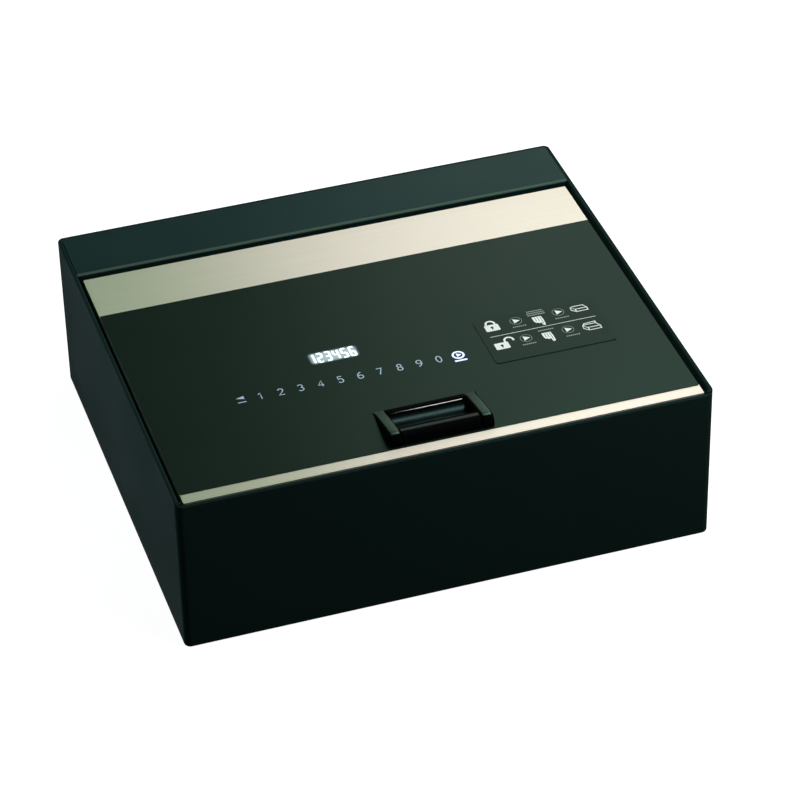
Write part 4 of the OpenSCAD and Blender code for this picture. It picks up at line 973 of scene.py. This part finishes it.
cheek_inner = bar_high.x + CHEEK_GAP
cheeks = [rounded_block(hood, -cheek_high.x, -cheek_inner, CHEEK_ROUNDING),
          rounded_block(hood, cheek_inner, cheek_high.x, CHEEK_ROUNDING)]
hood_piece = piece("handle_hood", cheeks, satin_moulding, ["handle_cheeks"])
shade_beyond(hood_piece, matt_shade_moulding, cheek_low.y + NOSE_SHADE_BORDER)

lip_curve = np.array([(LIP_FRONT, 0.0), (LIP_FRONT, LIP_TOP), (HOOD_DEPTH - LIP_SLOPE, LIP_TOP),
                      (HOOD_DEPTH, 0.0)])
lip_end = cheek_inner + LIP_OVERLAP
lip = rounded_block(lip_curve, -lip_end, lip_end, LIP_ROUNDING)
piece("handle_rear_lip", [lip], matt_shade_moulding)

rim_curve = arc(*RIM_AT, RIM_RADIUS, RIM_RADIUS, 180, -160, 22)
rim = rounded_block(rim_curve, *RIM_SPAN, RIM_ROUNDING, RIM_AT[1] - RIM_RADIUS)
piece("handle_scoop_rim", [rim], rim_moulding)

# %% Hooked pull bar
BAR_WALL = 3.2 * MM
BAR_LIP_HEIGHT = 4.0 * MM
# How far the bar lies inside the hood's side view, in depth and in height.
BAR_INSET = (0.27 * MM, 0.9 * MM)
BAR_EDGE = 0.45 * MM
# Where the painted shade begins on the bar's front and rear.
BAR_SHADE_BORDER = 6.2 * MM
BAR_SHADE_REAR = 2.8 * MM
bar_depth = bar_high.y - cheek_low.y
satin_end = bar_depth - BAR_SHADE_REAR

bar_curve = hood - outward(hood) * BAR_INSET
over_nose = bar_curve[bar_curve[:, 0] < satin_end]
slope_y, slope_z = bar_curve[NOSE_POINTS:].T
rear_top = [(y, np.interp(y, slope_y, slope_z)) for y in (satin_end, bar_depth)]
inner_radius = NOSE_RADIUS - BAR_WALL
lip_angle = math.degrees(math.asin((BAR_LIP_HEIGHT - NOSE_HEIGHT) / inner_radius))
hollow = arc(NOSE_RADIUS, NOSE_HEIGHT, inner_radius, inner_radius, lip_angle, 180, 12)
bar_outline = np.vstack([over_nose, rear_top, [(bar_depth, BAR_LIP_HEIGHT)], hollow, [(BAR_WALL, 0.0)]])
bar_ends = [np.column_stack([np.full(len(bar_outline), x), bar_outline]) for x in (bar_low.x, bar_high.x)]
bar_piece = piece("pull_bar", [on_lid(np.stack(bar_ends))], bar_moulding, ["grip_bar"],
                  bevel=BAR_EDGE)
shade_beyond(bar_piece, matt_shade_moulding, cheek_low.y + BAR_SHADE_BORDER, bar_high.y - BAR_SHADE_REAR)

# %% [markdown]
# ## Torsion springs
# Each hinge pin carries a wound spring. One leg stands against the bracket on the tub, the other lies under
# the lid. A rigid coil would tear from one of them as the lid turns, so the wire blends from the tub to the
# lid along the pin, and every turn takes its share of the angle.

# %% Wire of the springs
hinge_y, hinge_z = frame["joints"][0]["pos_m"][1:]
WIRE_RADIUS = 1.3 * MM
WIRE_SIDES = 12
WIRE_EDGE_ANGLE = 80
COIL_RADIUS = 4.5 * MM
COIL_TURNS = 13.25
COIL_PITCH = 3.1 * MM
POINTS_PER_TURN = 20
LEG_LENGTH = 22.0 * MM
LEG_STEPS = np.linspace(0.05, 1, 6)
spring_low, spring_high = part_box("torsion_spring_right")


def spring_wire(side):
    """A leg, a helix and a second leg, as one round tube. The helix is COIL_RADIUS times the cosine and sine
    of the angle, while X falls by COIL_PITCH a turn. Round it, a ring of WIRE_RADIUS stands square to it."""
    turn = np.linspace(0, COIL_TURNS, int(COIL_TURNS * POINTS_PER_TURN) + 1)
    angle = 2 * math.pi * turn
    x = spring_high.x - WIRE_RADIUS - COIL_PITCH * turn
    coil = np.column_stack([x, COIL_RADIUS * np.cos(angle), COIL_RADIUS * np.sin(angle)])
    leg_in = coil[0] - np.outer(LEG_STEPS[::-1] * LEG_LENGTH, [0, 0, 1])
    leg_out = coil[-1] - np.outer(LEG_STEPS * LEG_LENGTH, [0, 1, 0])
    path = np.vstack([leg_in, coil, leg_out]) + np.array([0.0, hinge_y, hinge_z])
    ahead = np.gradient(path, axis=0)
    ahead /= np.linalg.norm(ahead, axis=1, keepdims=True)
    out = np.cross(ahead, [1.0, 0.0, 0.0])
    out /= np.linalg.norm(out, axis=1, keepdims=True)
    third = np.cross(ahead, out)
    around = np.linspace(0, 2 * math.pi, WIRE_SIDES, endpoint=False)[None, :, None]
    rings = path[:, None] + WIRE_RADIUS * (np.cos(around) * out[:, None] + np.sin(around) * third[:, None])
    return carried(rings * np.array([side, 1.0, 1.0]))


for side, name in ((-1, "left"), (1, "right")):
    wire = piece(f"spring_wire_{name}", [spring_wire(side)], spring_steel,
                 [f"torsion_spring_{name}"], body=None, sharp=WIRE_EDGE_ANGLE)
    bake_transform(wire, "safe_body", "lid", start=(side * (spring_high.x - 2 * WIRE_RADIUS), hinge_y, hinge_z),
             end=(side * (spring_low.x + 2 * WIRE_RADIUS), hinge_y, hinge_z))

# %% [markdown]
# ## White floor
# The ground is plain white paper. Fully lit, it would brighten the tub's walls, which are nearly black in
# the photograph. So it is white only where it is seen or mirrored, with part of its shading kept for the
# object's shadow.

# %% Floor
FLOOR_HALF = 6.0
WHITE_GLOW = 0.95
SHADED_GREY = (0.4, 0.4, 0.4, 1)
DULL_GREY = (0.02, 0.02, 0.02, 1)


def mirrored(tree, ray):
    """1 for light that reaches the eye by way of a mirror or a clear piece, and 0 for other light."""
    return add(tree, "Math", {0: ray["Is Glossy Ray"], 1: ray["Is Transmission Ray"]},
               operation="MAXIMUM")[0]


def white_floor():
    """Camera and mirror rays see flat white plus a little shading. Other light sees a dull grey."""
    material = bpy.data.materials.new("Matt white paper floor")
    material.use_nodes = True
    tree = material.node_tree
    tree.nodes.clear()
    ray = add(tree, "LightPath")
    seen = add(tree, "Math", {0: ray["Is Camera Ray"], 1: mirrored(tree, ray)}, operation="MAXIMUM")
    paper = add(tree, "BsdfDiffuse", {"Color": SHADED_GREY})
    white = add(tree, "Emission", {"Color": (1, 1, 1, 1), "Strength": WHITE_GLOW})
    shown = add(tree, "AddShader", {0: paper[0], 1: white[0]})
    dull = add(tree, "BsdfDiffuse", {"Color": DULL_GREY})
    chosen = add(tree, "MixShader", {0: seen[0], 1: dull[0], 2: shown[0]})
    add(tree, "OutputMaterial", {"Surface": chosen[0]})
    return material


corners = FLOOR_HALF * np.array([(-1, -1, 0), (1, -1, 0), (1, 1, 0), (-1, 1, 0)], float)
floor_mesh = bpy.data.meshes.new("floor")
floor_mesh.from_pydata(corners, [], [(0, 1, 2, 3)])
floor_mesh.materials.append(white_floor())
floor = placed("floor", floor_mesh)
print("floor", 2 * FLOOR_HALF, "m wide")

# %% [markdown]
# ## World
# Behind the object the picture is white. In mirrors the room is white near the horizon and darker above,
# overhead and in front, with a breath of green: that gives the satin pieces their fading sheen. Matt
# surfaces get almost none of it, so the lamps shape them. One world does it all by the kind of ray.

# %% Studio room
MATT_AMBIENT = 0.02
MIRROR_TINT = "#dcffdf"
# Axis, where a ramp starts and ends on it, and its two brightnesses: wall, ceiling, and front to rear.
ROOM_RAMPS = (("Z", 0.2, 0.42, 1.0, 0.09), ("Z", 0.62, 0.85, 1.0, 0.15), ("Y", -0.1, 0.4, 0.4, 1.0))


def studio(sky):
    """White to the camera, MATT_AMBIENT to matt surfaces, and to mirrors the product of ROOM_RAMPS."""
    sky.nodes.clear()
    ray = add(sky, "LightPath")
    direction = add(sky, "TexCoord")["Generated"]
    split = add(sky, "SeparateXYZ", {0: direction})
    wall, ceiling, behind = (
        add(sky, "MapRange", {"Value": split[axis], "From Min": start, "From Max": stop,
                              "To Min": near, "To Max": far})[0]
        for axis, start, stop, near, far in ROOM_RAMPS)
    upper = add(sky, "Math", {0: wall, 1: ceiling}, operation="MULTIPLY")
    room = add(sky, "Math", {0: upper[0], 1: behind}, operation="MULTIPLY")
    mirror = mirrored(sky, ray)
    unseen = add(sky, "Mix", {0: mirror, 2: MATT_AMBIENT, 3: room[0]})
    strength = add(sky, "Mix", {0: ray["Is Camera Ray"], 2: unseen[0], 3: 1.0})
    tint = add(sky, "Mix", {0: mirror, 6: linear("#ffffff"), 7: linear(MIRROR_TINT)}, data_type="RGBA")[2]
    background = add(sky, "Background", {"Color": tint, "Strength": strength[0]})
    add(sky, "OutputWorld", {"Surface": background[0]})


world = bpy.data.worlds.new("white studio")
bpy.context.scene.world = world
world.use_nodes = True
studio(world.node_tree)
bpy.context.scene.view_settings.view_transform = "Standard"
print("world nodes:", len(world.node_tree.nodes))

# %% [markdown]
# ## Lamps
# Five soft boxes. The top one brightens the panel to the right and the rear one makes the sheen that fades
# over the lid to the left. A weak cold one low on the left shows the tub's side. The front one draws the
# lines of light in the scoop and on the bar, and the corner one lifts the front strip's right end. Sun or
# point lamps would give hard edges.

# %% Soft boxes
def soft_box(name, place, aim, size, watts, code="#ffffff"):
    """An area lamp of a width and a height, at a place, that faces a point."""
    lamp = bpy.data.lights.new(name, "AREA")
    lamp.shape = "RECTANGLE"
    lamp.size, lamp.size_y = size
    lamp.energy = watts
    lamp.color = linear(code)[:3]
    ahead = np.subtract(aim, place) / np.linalg.norm(np.subtract(aim, place))
    beside = np.cross(ahead, [0.0, 0.0, 1.0])
    beside /= np.linalg.norm(beside)
    placed(name, lamp, place, np.column_stack([beside, np.cross(beside, ahead), -ahead]))


soft_box("top soft box", (0.33, 0.14, 0.86), (0.05, 0.05, 0.12), (0.4, 0.4), watts=4.3)
soft_box("rear soft box", (0.77, 1.15, 0.95), (0.05, 0.0, 0.12), (0.92, 0.7), watts=2.95)
soft_box("side soft box", (-0.45, 0.02, 0.27), (-0.2, 0.03, 0.08), (0.25, 0.15), watts=0.24,
         code="#dfe8ff")
soft_box("front soft box", (0.4, -0.68, 1.15), (0.0, -0.137, 0.12), (0.5, 0.18), watts=1.7)
soft_box("corner soft box", (0.62, -0.45, 0.7), (0.15, -0.17, 0.12), (0.25, 0.25), watts=1.5)
print("lamps:", len(bpy.data.lights))
